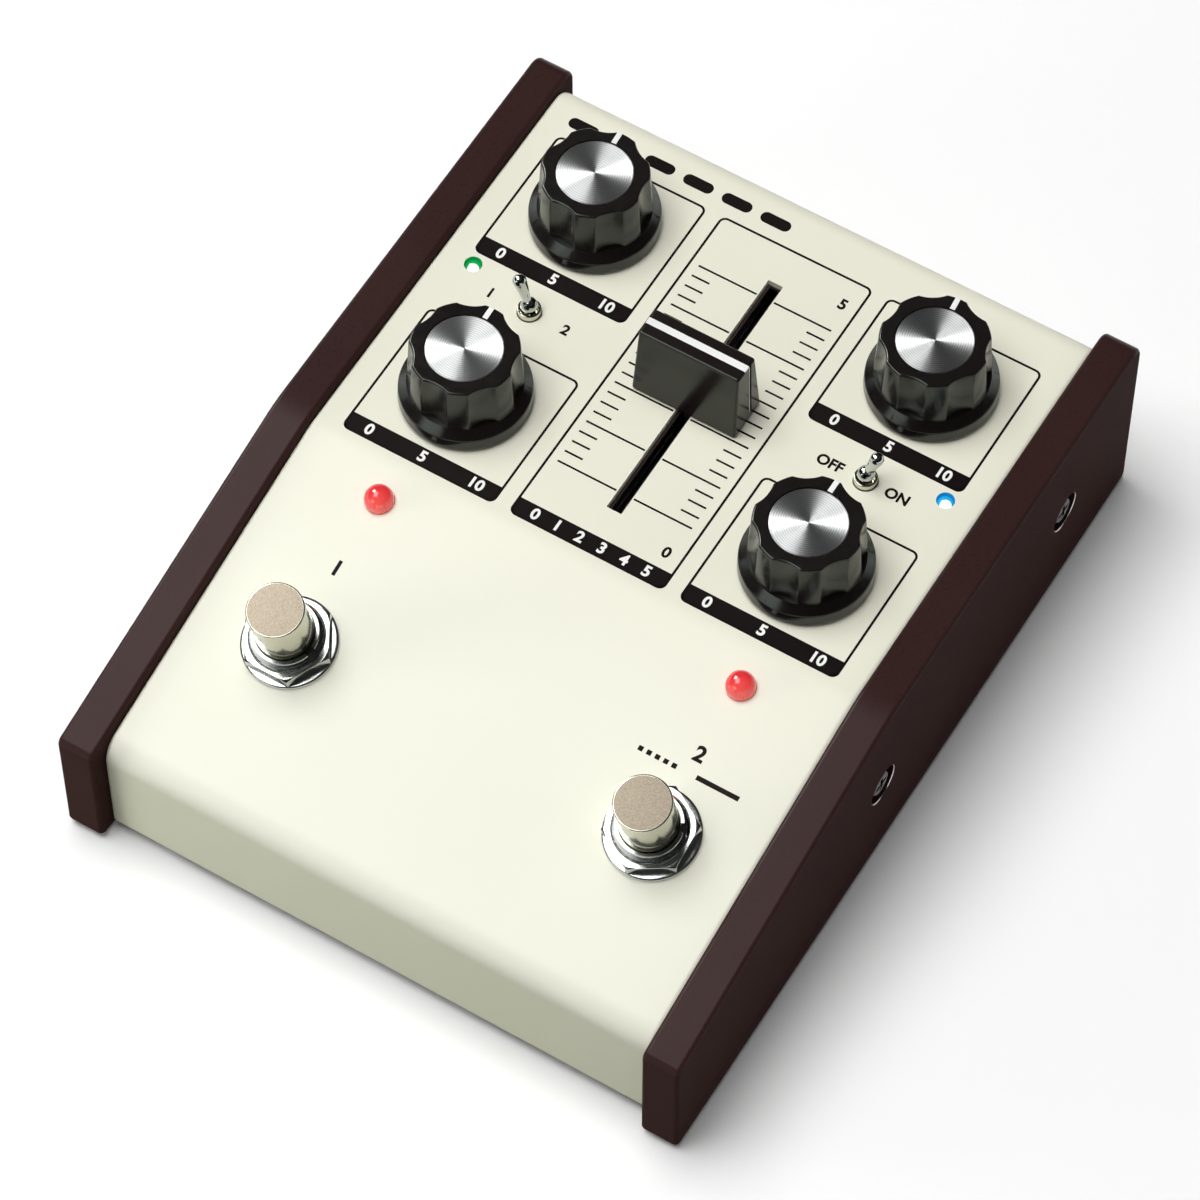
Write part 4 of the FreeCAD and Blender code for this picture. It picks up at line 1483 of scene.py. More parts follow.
@dataclass
class Toggle(Assembly):
    """The two small bat-handle toggle switches.

    Attributes:
        x: How far they are from the middle.
        y: Their place along Y.
        ball: The radius of the ball that a lever turns on.
        pivot: The height of the ball's middle.
        tail: The radius and the length of the lever's lower end.
        waist: The lever's radius where it leaves the ball.
        neck: The lever's radius over the ball, at two distances over it.
        tip: The radius of the lever's tip.
        tip_start: Where its rounding begins, in degrees over its middle.
        reach: How far the tip's middle is from the ball's.
        lean: How far a lever leans outwards, in degrees.
        edge: The rounding of the switch bodies' edges.
    """

    x: float = 32 * MM
    y: float = 28.45 * MM
    ball: float = 1.47 * MM
    pivot: float = 2.05 * MM
    tail: Span = (0.6 * MM, 2.4 * MM)
    waist: float = 0.72 * MM
    neck: Profile = ((0.75 * MM, 0.05 * MM), (0.79 * MM, 0.6 * MM))
    tip: float = 1.175 * MM
    tip_start: float = -4
    reach: float = 6.0 * MM
    lean: float = 17.4
    edge: float = 0.18 * MM

    def lever(self) -> Piece:
        """Model a lever upright, with the ball's middle at the origin.

        Returns:
            The lever.
        """
        thin, long = self.tail
        start = math.degrees(math.asin(thin / self.ball)) - 90
        end = 90 - math.degrees(math.asin(self.waist / self.ball))
        rows = [(0.0, -long), (thin, -long), *Bench.arc((0, 0), self.ball, start, end, steps=16)]
        rows += [(radius, self.ball + over) for radius, over in self.neck]
        tip = Bench.arc((0, self.reach), self.tip, self.tip_start, 90, steps=11)
        rows += [(max(radius, 0), height) for radius, height in tip]
        return Bench.smooth(Bench.lathe("lever", rows, ROUND), angle=40, flats=False)

    def build(self) -> None:
        """Build and dress both toggles."""
        sides = ("left", "right")
        levers = Bench.row(self.lever(), [side + "_lever" for side in sides])
        for side, way, lever in zip(sides, (-1, 1), levers):
            place = (way * self.x, self.y, self.at.panel + self.pivot)
            Bench.place(lever, place, (0, way * self.lean, 0))
            body, node = side + "_toggle", side + "_toggle_body"
            self.finish(lever, self.looks.chrome, body, "bright_chrome", side + "_toggle_lever")
            case = Bench.from_frame(self.frame, node, side + "_toggle_case")
            Bench.round_edges(case, self.edge, segments=4, angle=60)
            self.finish(Bench.smooth(case), self.looks.nickel, BODY_CASE, "bright_chrome", node)


@dataclass
class Lamp(Assembly):
    """The four round lamps, each with a dome and a collar under it.

    Attributes:
        small: A small dome's radius, the height of its middle and the depth under that.
        small_at: Where the right small lamp is, along X and Y.
        small_core: The bright part's middle against the lamp's place on the panel.
        small_glow: How far that part reaches, how wide its border is, and the light's strength.
        small_colours: The left and the right lamp's name, colour and bright part's colour.
        red: A red dome's radius, the height of its middle and the depth under that.
        red_x: How far a red lamp is from the middle.
        red_down: Its distance down the slope from the fold.
        red_core: Where the bright part's middle is, along X against the lamp, and along Y and Z.
        red_glow: The same three values for a red lamp.
        red_colours: A red lamp's colour and its bright part's.
        collar: How far the collar stands out, and its height.
    """

    small: Point = (1.5 * MM, -1.45 * MM, 5.35 * MM)
    small_at: Span = (45.0 * MM, 31.85 * MM)
    small_core: Point = (0.38 * MM, -0.66 * MM, -0.5 * MM)
    small_glow: Point = (0.85 * MM, 0.25 * MM, 0.85)
    small_colours: tuple[tuple[str, Colour, Colour], ...] = (
        ("green", (0.002, 0.24, 0.055), (0.97, 1.0, 0.98)),
        ("blue", (0.010, 0.25, 0.50), (0.95, 0.98, 1.0)),
    )
    red: Point = (2.5 * MM, 0.6 * MM, 5.6 * MM)
    red_x: float = 34 * MM
    red_down: float = 6.4 * MM
    red_core: Point = (1.0 * MM, -16.5 * MM, 39 * MM)
    red_glow: Point = (0.6 * MM, 2.2 * MM, 0.34)
    red_colours: tuple[Colour, Colour] = ((0.62, 0.03, 0.035), (0.80, 0.09, 0.08))
    collar: Span = (0.4 * MM, 1.0 * MM)

    def dome(self, radius: float, middle: float, depth: float) -> Piece:
        """Model a lamp with its axis on Z.

        Args:
            radius: The dome's radius.
            middle: The height of the dome's middle.
            depth: How deep it goes below the middle.

        Returns:
            The lamp.
        """
        out, high = self.collar
        low = middle - depth
        rows = [(0.0, low), (radius + out, low), (radius + out, low + high), (radius, low + high)]
        rows += Bench.arc((0, middle), radius, 0, 90, steps=16)[:-1] + [(0.0, middle + radius)]
        return Bench.smooth(Bench.lathe("dome", rows, ROUND), angle=40, flats=False)

    def build(self) -> None:
        """Build and dress the lamps."""
        x, y = self.small_at
        over_x, over_y, over_z = self.small_core
        lamps = Bench.row(self.dome(*self.small), [row[0] + "_lamp" for row in self.small_colours])
        for lamp, x, (name, colour, core) in zip(lamps, (-x, x), self.small_colours):
            self.at.rear(lamp, x, y)
            middle = (x + over_x, y + over_y, self.at.panel + over_z)
            lens = Lens(name + "_lens", colour, core, middle, *self.small_glow)
            self.finish(lamp, lens.material(), BODY_CASE, name + "_lens", name + "_led")
        lamps = Bench.row(self.dome(*self.red), ["left_red_lamp", "right_red_lamp"])
        colour, core = self.red_colours
        for lamp, side, x in zip(lamps, ("left", "right"), (-self.red_x, self.red_x)):
            self.at.front(lamp, x, self.red_down)
            middle = (x + self.red_core[0], *self.red_core[1:])
            lens = Lens(side + "_red_lens", colour, core, middle, *self.red_glow)
            self.finish(lamp, lens.material(), BODY_CASE, "red_lens", side + "_red_led")


@dataclass
class FootSwitch(Assembly):
    """The two foot switches, each with its button, threaded bush, nut and washer.

    Attributes:
        x: How far they are from the middle.
        down: Their distance down the slope from the fold.
        keys: Where the left and the right bush's keyway is, in degrees.
        nut_turns: How far the left and the right nut is turned, in degrees.
        button: The button's radius.
        button_low: The height of the button's lower end.
        button_edge: The rounding of the button's top edge.
        button_shares: The steps of that rounding, as shares of a quarter turn.
        button_face: How squarely a face of the button's top looks up, at least.
        top: The height of the button's top.
        bush: The threaded bush's radius.
        bush_low: The height of its lower end.
        bush_top: The height of the bush's top.
        play: The gap between bush and button.
        thread_low: Where the thread begins.
        thread_cone: The height at which the bush starts to narrow to the thread.
        thread_end: How far in and how far down the corners of the bush's top are from its edge.
        mouth: The chamfer of the bush's opening.
        pitch: The thread's pitch.
        crest: Where a crest begins and ends within the pitch.
        crest_in: How far the crests lie under the bush's radius.
        root: How deep the thread is.
        key: Half of the keyway's width.
        key_deep: How deep the keyway is.
        key_low: Where the keyway begins.
        key_over: How far its cutter reaches over the bush.
        hole: The radius of the nut's and the washer's hole.
        washer: The washer's radius.
        washer_top: The washer's thickness.
        washer_edge: The rounding of its edge.
        washer_rows: The corners of that rounding, inwards and down, in its own size.
        flat: Half of the nut's width across its flats.
        nut_low: The height of the nut's bottom.
        nut_top: The height of the nut's top.
        nut_cone: How far down the cone that turns its corners off is, outside them and at them.
        nut_face: How far past the flats the cone reaches at the top.
        nut_mouth: The chamfer of its hole.
        nut_over: How far the cutters of its cone and of that chamfer reach over its top.
        nut_edge: The rounding of its edges.
        case: Half of the switch body's width and depth.
        case_ends: The heights of its bottom and top.
        case_edge: The rounding of its edges.
    """

    x: float = 34 * MM
    down: float = 34.4 * MM
    keys: Span = (-10, 20)
    nut_turns: Span = (0, 30)
    button: float = 4.85 * MM
    button_low: float = -6 * MM
    button_edge: float = 0.3 * MM
    button_shares: tuple[float, ...] = (0.33, 0.66, 1.0)
    button_face: float = 0.98
    top: float = 15.0 * MM
    bush: float = 6.0 * MM
    bush_low: float = -5 * MM
    bush_top: float = 5.2 * MM
    play: float = 0.08 * MM
    thread_low: float = 2.4 * MM
    thread_cone: float = 0.5 * MM
    thread_end: Profile = ((0.35 * MM, 0.1 * MM), (0.45 * MM, 0.0))
    mouth: float = 0.15 * MM
    pitch: float = 0.75 * MM
    crest: Span = (0.3 * MM, 0.42 * MM)
    crest_in: float = 0.02 * MM
    root: float = 0.38 * MM
    key: float = 0.8 * MM
    key_deep: float = 0.95 * MM
    key_low: float = 2.0 * MM
    key_over: float = 0.8 * MM
    hole: float = 6.05 * MM
    washer: float = 8.1 * MM
    washer_top: float = 0.8 * MM
    washer_edge: float = 0.15 * MM
    washer_rows: Profile = ((0, 1.9), (0.3, 1.1), (1, 0.6), (3, 0.3))
    flat: float = 6.9 * MM
    nut_low: float = 0.8 * MM
    nut_top: float = 3.2 * MM
    nut_cone: Span = (1.4 * MM, 0.4 * MM)
    nut_face: float = 0.25 * MM
    nut_mouth: float = 0.35 * MM
    nut_over: Span = (0.01 * MM, 0.05 * MM)
    nut_edge: float = 0.07 * MM
    case: Span = (8.5 * MM, 7 * MM)
    case_ends: Span = (-21.2 * MM, -1.2 * MM)
    case_edge: float = 0.5 * MM

    def press(self) -> Piece:
        """Model a button on the Z axis.

        Returns:
            The button.
        """
        edge = self.button_edge
        rows = [(0.0, self.button_low), (self.button, self.button_low), (self.button, self.top - edge)]
        for share in self.button_shares:
            angle = share * math.pi / 2
            inset, drop = edge * (1 - math.cos(angle)), edge * (1 - math.sin(angle))
            rows.append((self.button - inset, self.top - drop))
        rows.append((0.0, self.top))
        return Bench.smooth(Bench.lathe("press", rows, FINE), angle=35)

    def thread(self) -> Piece:
        """Model a bush on the Z axis, with the thread that stands over the nut.

        Returns:
            The bush.
        """
        inner, outer, low, top = self.button + self.play, self.bush, self.thread_low, self.bush_top
        rows = [(inner, self.bush_low), (outer, self.bush_low), (outer, self.thread_cone)]
        rows.append((outer - self.thread_end[0][0], low))
        height = low
        while height + self.pitch < top:
            rows += [(outer - self.crest_in, height + part) for part in self.crest]
            height += self.pitch
            rows.append((outer - self.root, height))
        rows += [(outer - inset, top - drop) for inset, drop in self.thread_end]
        rows += [(inner + self.mouth, top), (inner, top - self.mouth), (inner, self.bush_low)]
        return Bench.lathe("thread", rows, FINE)

    def box(self) -> Piece:
        """Model a switch's body, which hangs under the panel.

        Returns:
            The body.
        """
        (wide, deep), (low, high) = self.case, self.case_ends
        box = Bench.block("box", (-wide, -deep, low), (wide, deep, high))
        Bench.round_edges(box, self.case_edge, segments=3)
        return Bench.smooth(box, angle=35)

    def ring(self) -> Piece:
        """Model a slightly dished washer on the Z axis.

        Returns:
            The washer.
        """
        inner, outer, edge, top = self.hole, self.washer, self.washer_edge, self.washer_top
        rows = [(inner, 0), (outer - edge, 0), (outer, edge)]
        for inset, drop in self.washer_rows:
            rows.append((outer - inset * edge, top - drop * edge))
        rows += [(inner + 3 * edge, top), (inner, top), (inner, 0)]
        return Bench.smooth(Bench.lathe("ring", rows, FINE), angle=40, flats=False)

    def nut(self) -> Piece:
        """Model a nut with its corners turned off, with a corner towards the right.

        Returns:
            The nut on the Z axis.
        """
        flat, low, top, hole = self.flat, self.nut_low, self.nut_top, self.hole
        corner = flat / math.cos(math.pi / 6)
        nut = Bench.place(Bench.drum("nut", corner, low, top, sides=6), (0, 0, 0), (0, 0, 30))
        outside, at_corner = self.nut_cone
        cone_over, over = self.nut_over
        limit = Bench.lathe("limit", [
            (0.0, low - MM), (corner + MM, low - MM), (corner + MM, top - outside),
            (corner, top - at_corner), (flat + self.nut_face, top + cone_over), (0.0, top + cone_over),
        ])
        Bench.combine(nut, limit, Solver.KEEP)
        Bench.combine(nut, Bench.drum("hole", hole, low - MM, top + MM, sides=96), Solver.CUT)
        start, past = top - self.nut_mouth, hole + self.nut_mouth
        rows = [(0.0, start), (hole - over, start), (past, top + over), (0.0, top + over)]
        Bench.combine(nut, Bench.lathe("funnel", rows), Solver.CUT)
        Bench.round_edges(nut, self.nut_edge, angle=28)
        return Bench.smooth(nut, angle=40)

    def build(self) -> None:
        """Model the pieces once, copy them to both switches and dress them."""
        sides, xs = ("left", "right"), (-self.x, self.x)
        buttons = Bench.row(self.press(), [side + "_press" for side in sides])
        threads = Bench.row(self.thread(), [side + "_thread" for side in sides])
        boxes = Bench.row(self.box(), [side + "_switch_case" for side in sides])
        washers = Bench.row(self.ring(), [side + "_ring" for side in sides])
        nuts = Bench.row(self.nut(), [side + "_hexagon" for side in sides])
        for number, (side, x) in enumerate(zip(sides, xs)):
            button, thread, box = buttons[number], threads[number], boxes[number]
            self.cut_key(thread, self.keys[number])
            Bench.place(nuts[number], (0, 0, 0), (0, 0, self.nut_turns[number]))
            for piece in (button, thread, box, washers[number], nuts[number]):
                self.at.front(piece, x, self.down)
            node = side + "_foot_button"
            self.finish(button, self.looks.nickel, side + "_button", "button_nickel", node)
            self.accent(button, self.looks.button, self.on_button_face)
            self.finish(thread, self.looks.plated, BODY_CASE, "nickel", side + "_foot_switch")
            self.finish(box, self.looks.zinc, BODY_CASE, "nickel")
        for kind, row in (("washers", washers), ("nuts", nuts)):
            ring = Bench.join("switch_" + kind, row)
            self.finish(ring, self.looks.plated, BODY_CASE, "nickel", "foot_switch_" + kind)

    def on_button_face(self, place: Vector, way: Vector) -> bool:
        """Say whether a face with this normal belongs to a button's top."""
        return way.dot(self.at.up()) > self.button_face

    def cut_key(self, thread: Piece, turn: float) -> None:
        """Cut the keyway into a bush.

        Args:
            thread: The bush on the Z axis.
            turn: Where the keyway is, in degrees.
        """
        low = (self.bush - self.key_deep, -self.key, self.key_low)
        notch = Bench.block("notch", low, (self.bush + MM, self.key, self.bush_top + self.key_over))
        Bench.combine(thread, Bench.place(notch, (0, 0, 0), (0, 0, turn)), Solver.CUT)
        Bench.smooth(thread, angle=25)


@dataclass(frozen=True)
class Carried:
    """A CAD node that is only given rounded edges and a finish.

    Attributes:
        node: The node's name.
        name: The piece's name.
        look: The name of its finish.
        slot: The record's material slot.
        edge: The rounding of its edges.
    """

    node: str
    name: str
    look: str
    slot: str
    edge: float


@dataclass
class Inside(Assembly):
    """What is inside, behind and under the case, carried over from the CAD.

    Attributes:
        rounded: The nodes that show at the back and underneath, whose edges are rounded.
        dressed: The nodes of each finish that stay as they are.
    """

    rounded: tuple[Carried, ...] = (
        Carried("jack_nuts", "jack_hexagons", "plated", "nickel", 0.25 * MM),
        Carried("input_jack", "input_socket", "socket", "socket_black", 0.2 * MM),
        Carried("output_jack", "output_socket", "socket", "socket_black", 0.2 * MM),
        Carried("power_jack", "power_socket_body", "socket", "socket_black", 0.2 * MM),
        Carried("rubber_feet", "feet", "rubber", "foot_rubber", 0.12 * MM),
        Carried("bottom_screws", "plate_screws", "steel", "screw_steel", 0.1 * MM),
    )
    dressed: tuple[tuple[str, tuple[str, ...]], ...] = (
        ("zinc", (
            "bottom_plate", "fader_frame",
            "rear_left_pot", "front_left_pot", "rear_right_pot", "front_right_pot",
        )),
        ("steel", (
            "cheek_nuts", "fader_lever", "pot_washers", "rear_left_pot_shaft", "front_left_pot_shaft",
            "rear_right_pot_shaft", "front_right_pot_shaft",
        )),
        ("board", ("main_board", "foot_board")),
        ("socket", ("board_components",)),
        ("ribbon", ("ribbon_cable",)),
        ("seal", ("fader_seal",)),
        ("nickel", ("pot_nuts",)),
    )

    def build(self) -> None:
        """Round and dress what shows, and dress every other node."""
        for row in self.rounded:
            piece = Bench.from_frame(self.frame, row.node, row.name)
            Bench.round_edges(piece, row.edge, angle=50)
            Bench.smooth(piece, angle=35)
            self.finish(piece, getattr(self.looks, row.look), BODY_CASE, row.slot, row.node)
        for look, nodes in self.dressed:
            for node in nodes:
                self.dress(self.frame["nodes"][node], getattr(self.looks, look))

    def dress(self, piece: Piece, material: bpy.types.Material) -> None:
        """Give a CAD node's own object a material.

        Args:
            piece: The node's object.
            material: The material.
        """
        for slot in piece.material_slots:
            slot.material = material
        if not piece.material_slots:
            piece.data.materials.append(material)
        log.info("%s dressed as %s", piece.name, material.name)


@dataclass
class Print(Assembly):
    """The printed lines, bars, numbers and words on the two panels.

    Attributes:
        thick: How high the black ink stands.
        sunk: How far it reaches into the paint.
        line: The width of the boxes' lines.
        corner: The rounding of the boxes' corners.
        bar: The depth of the black bars.
        bar_in: How far inside its box's edge a bar starts, against the line's width.
        bold: How much the figures' strokes are widened, against their height.
        front: Where the cheeks' front is, along Y. The places below start there.
        half: Half of a box's width.
        columns: Where the knobs' boxes are, along X.
        rows: Where the front and the rear boxes start and stop.
        figure: The height of the figures in the bars.
        figure_up: How far their middle is from a box's front.
        figures: The figures under a knob, by their share of the box's width.
        fader_figures: The figures under the fader.
        fader_step: The distance between them.
        tick: Half of a scale line's width.
        ticks: How many scale lines there are on a side.
        tick_start: Where the first one is.
        tick_step: The distance between them.
        long_tick: Every so many lines, one is long.
        long_spans: Where the long lines start and stop, along X.
        short_spans: Where the short ones do.
        ends: The numbers at the slot's ends and their places.
        switch_row: The toggles' words and their places along X.
        switch_y: Their place along Y.
        switch_size: Their height.
        dashes: How many dashes there are along the rear.
        dash_start: Where the first one starts, along X.
        dash_step: The distance between them.
        dash: A dash's length.
        dash_row: Where the dashes start and stop.
        dash_corner: The rounding of their ends.
        slope_row: Where the dots and the dash on the slope start and stop, up the slope from the fold.
        dots: How many dots there are.
        dot: A dot's length, where the first one starts along X, and the distance between them.
        slope_dash: Where the dash starts and stops, along X.
        lamp_numbers: The numbers at the red lamps and their places on the slope.
        lamp_size: Their height.
    """

    thick: float = 0.025 * MM
    sunk: float = 0.02 * MM
    line: float = 0.42 * MM
    corner: float = 1.3 * MM
    bar: float = 3.5 * MM
    bar_in: float = 0.9
    bold: float = 0.05
    front: float = -74.55 * MM
    half: float = 14.6 * MM
    columns: Span = (-32.0 * MM, 32.0 * MM)
    rows: tuple[Span, Span] = ((67.9 * MM, 95.4 * MM), (108.75 * MM, 136.3 * MM))
    figure: float = 2.0 * MM
    figure_up: float = 1.8 * MM
    figures: tuple[tuple[float, str], ...] = ((-0.35, "0"), (0.0, "5"), (0.35, "10"))
    fader_figures: str = "012345"
    fader_step: float = 4.2 * MM
    tick: float = 0.18 * MM
    ticks: int = 21
    tick_start: float = 80.5 * MM
    tick_step: float = 2.25 * MM
    long_tick: int = 4
    long_spans: tuple[Span, Span] = ((-12.8 * MM, -1.65 * MM), (1.65 * MM, 12.6 * MM))
    short_spans: tuple[Span, Span] = ((-12.8 * MM, -9.4 * MM), (9.2 * MM, 12.6 * MM))
    ends: tuple[tuple[str, float, float], ...] = (
        ("5", 11.6 * MM, 131 * MM), ("0", 11.4 * MM, 74.4 * MM),
    )
    switch_row: tuple[tuple[float, str], ...] = (
        (-39.5 * MM, "1"), (-25.0 * MM, "2"), (25.4 * MM, "OFF"), (37.9 * MM, "ON"),
    )
    switch_y: float = 102.9 * MM
    switch_size: float = 1.9 * MM
    dashes: int = 6
    dash_start: float = -46.6 * MM
    dash_step: float = 7.5 * MM
    dash: float = 5.6 * MM
    dash_row: Span = (138.7 * MM, 140.9 * MM)
    dash_corner: float = 1.05 * MM
    slope_row: Span = (-23.4 * MM, -22.55 * MM)
    dots: int = 5
    dot: Point = (0.85 * MM, 24.7 * MM, 1.55 * MM)
    slope_dash: Span = (35.4 * MM, 43.2 * MM)
    lamp_numbers: tuple[tuple[str, float, float], ...] = (
        ("1", -34 * MM, -19.9 * MM), ("2", 34 * MM, -19.5 * MM),
    )
    lamp_size: float = 2.6 * MM

    def mark(self, x: Span, y: Span) -> Piece:
        """Print a rectangle between two edges along X and two along Y, on Z = 0."""
        return Bench.block("mark", (x[0], y[0], -self.sunk), (x[1], y[1], self.thick))

    def line_of(self, mark: Piece, xs: Sequence[float]) -> list[Piece]:
        """Copy a mark to several places along X, and give all of them."""
        marks = Bench.row(mark, [f"mark_{number}" for number in range(len(xs))])
        return [Bench.place(each, (x, 0, 0)) for each, x in zip(marks, xs)]

    def box(self, y0: float, y1: float) -> Piece:
        """Print a box's outline with a black bar along its front.

        Args:
            y0: Its front edge.
            y1: Its rear edge.

        Returns:
            The box round X = 0.
        """
        Bench.clear()
        bpy.ops.mesh.primitive_plane_add(size=1, location=(0, (y0 + y1) / 2, -self.sunk))
        ring = Bench.named("ring")
        ring.scale = (2 * self.half, y1 - y0, 1)
        bpy.ops.object.transform_apply(location=True, rotation=True, scale=True)
        Bench.edit(ring)
        bpy.ops.mesh.bevel(offset=self.corner, segments=8, affect="VERTICES")
        bpy.ops.mesh.select_all(action="SELECT")
        bpy.ops.mesh.inset(thickness=self.line)
        bpy.ops.mesh.delete(type="FACE")
        bpy.ops.mesh.select_all(action="SELECT")
        lift = (0, 0, self.thick + self.sunk)
        bpy.ops.mesh.extrude_region_move(TRANSFORM_OT_translate={"value": lift})
        Bench.tidy_mesh()
        Bench.close()
        inner = self.line * self.bar_in
        reach = self.half - inner
        return Bench.join("box", [ring, self.mark((-reach, reach), (y0 + inner, y0 + self.bar))])

    def words(self, text: str, x: float, y: float, size: float, level: float = 0.0) -> Piece:
        """Print a number or a word.

        Args:
            text: What it says.
            x: Its middle along X.
            y: Its middle along Y.
            size: The height of its figures.
            level: How much higher than the ink on the panel it starts.

        Returns:
            The thin raised figures.
        """
        Bench.clear()
        bpy.ops.object.text_add(location=(0, 0, 0))
        curve = bpy.context.view_layer.objects.active
        curve.data.body = text
        curve.data.size = size / FIGURE_SHARE
        curve.data.align_x = "CENTER"
        curve.data.align_y = "CENTER"
        curve.data.extrude = self.thick / 2
        curve.data.offset = self.bold * size
        bpy.ops.object.convert(target="MESH")
        return Bench.place(Bench.named("words"), (x, y, self.thick / 2 + level))

    def build(self) -> None:
        """Build and dress the print of both panels."""
        black: list[Piece] = []
        white: list[Piece] = []
        for start, stop in self.rows:
            y = self.front + start
            black += self.line_of(self.box(y, self.front + stop), self.columns)
            bar = [
                self.words(text, 2 * share * self.half, y + self.figure_up, self.figure, self.thick)
                for share, text in self.figures
            ]
            white += self.line_of(Bench.join("figures", bar), self.columns)
        start, stop = self.rows[0][0], self.rows[1][1]
        black.append(self.box(self.front + start, self.front + stop))
        for number, text in enumerate(self.fader_figures):
            x = (number - (len(self.fader_figures) - 1) / 2) * self.fader_step
            y = self.front + start + self.figure_up
            white.append(self.words(text, x, y, self.figure, self.thick))
        black += self.scale() + self.rear_marks()
        ink = self.at.rear(Bench.join("print_rear_black", black), 0, 0)
        self.finish(ink, self.looks.ink, BODY_CASE)
        figures = self.at.rear(Bench.join("print_rear_white", white), 0, 0)
        self.finish(figures, self.looks.ink_white, BODY_CASE)
        ink = self.at.front(Bench.join("print_front", self.front_marks()), 0, 0)
        self.finish(ink, self.looks.ink, BODY_CASE)

    def scale(self) -> list[Piece]:
        """Print the slot's scale and its end numbers.

        Returns:
            The marks.
        """
        marks = []
        for long, spans in ((True, self.long_spans), (False, self.short_spans)):
            numbers = [n for n in range(self.ticks) if (n % self.long_tick == 0) == long]
            for span in spans:
                tick = self.mark(span, (-self.tick, self.tick))
                for number, copy in zip(numbers, Bench.row(tick, [f"tick_{n}" for n in numbers])):
                    y = self.front + self.tick_start + self.tick_step * number
                    marks.append(Bench.place(copy, (0, y, 0)))
        for text, x, y in self.ends:
            marks.append(self.words(text, x, self.front + y, self.figure))
        return marks

    def rear_marks(self) -> list[Piece]:
        """Print the toggles' numbers and words, and the row of dashes along the rear.

        Returns:
            The marks.
        """
        y = self.front + self.switch_y
        marks = [self.words(text, x, y, self.switch_size) for x, text in self.switch_row]
        start, stop = self.dash_row
        dash = self.mark((0, self.dash), (self.front + start, self.front + stop))
        Bench.edit(dash, select=False)
        Bench.pick(dash, Element.EDGE, lambda middle, way: abs(way.z) > ALONG)
        bpy.ops.mesh.bevel(offset=self.dash_corner, segments=6, affect="EDGES")
        Bench.close()
        xs = [self.dash_start + self.dash_step * number for number in range(self.dashes)]
        return marks + self.line_of(dash, xs)

    def front_marks(self) -> list[Piece]:
        """Print the marks of the sloping panel, with Y measured up the slope from the fold.

        Returns:
            The marks.
        """
        length, start, step = self.dot
        xs = [start + step * number for number in range(self.dots)]
        dots = self.line_of(self.mark((0, length), self.slope_row), xs)
        numbers = [self.words(text, x, y, self.lamp_size) for text, x, y in self.lamp_numbers]
        return [*numbers, *dots, self.mark(self.slope_dash, self.slope_row)]


@dataclass(frozen=True)
class Light:
    """A soft rectangular light.

    Attributes:
        name: Its name.
        place: Where it is.
        size: Its width and height.
        power: Its power in watts.
        target: What it points at.
        glint: Whether it only shows in glossy surfaces, or only gives soft light.
    """

    name: str
    place: Point
    size: Span
    power: float
    target: Point = (0, 0, 0.03)
    glint: bool = False

    def build(self) -> None:
        """Add the light."""
        Bench.clear()
        bpy.ops.object.light_add(type="AREA", location=self.place)
        light = bpy.context.view_layer.objects.active
        light.name = self.name
        light.data.shape = "RECTANGLE"
        light.data.size, light.data.size_y = self.size
        light.data.energy = self.power
        light.visible_glossy = self.glint
        light.visible_diffuse = not self.glint
        away = Vector(self.place) - Vector(self.target)
        light.rotation_euler = away.to_track_quat("Z", "Y").to_euler()


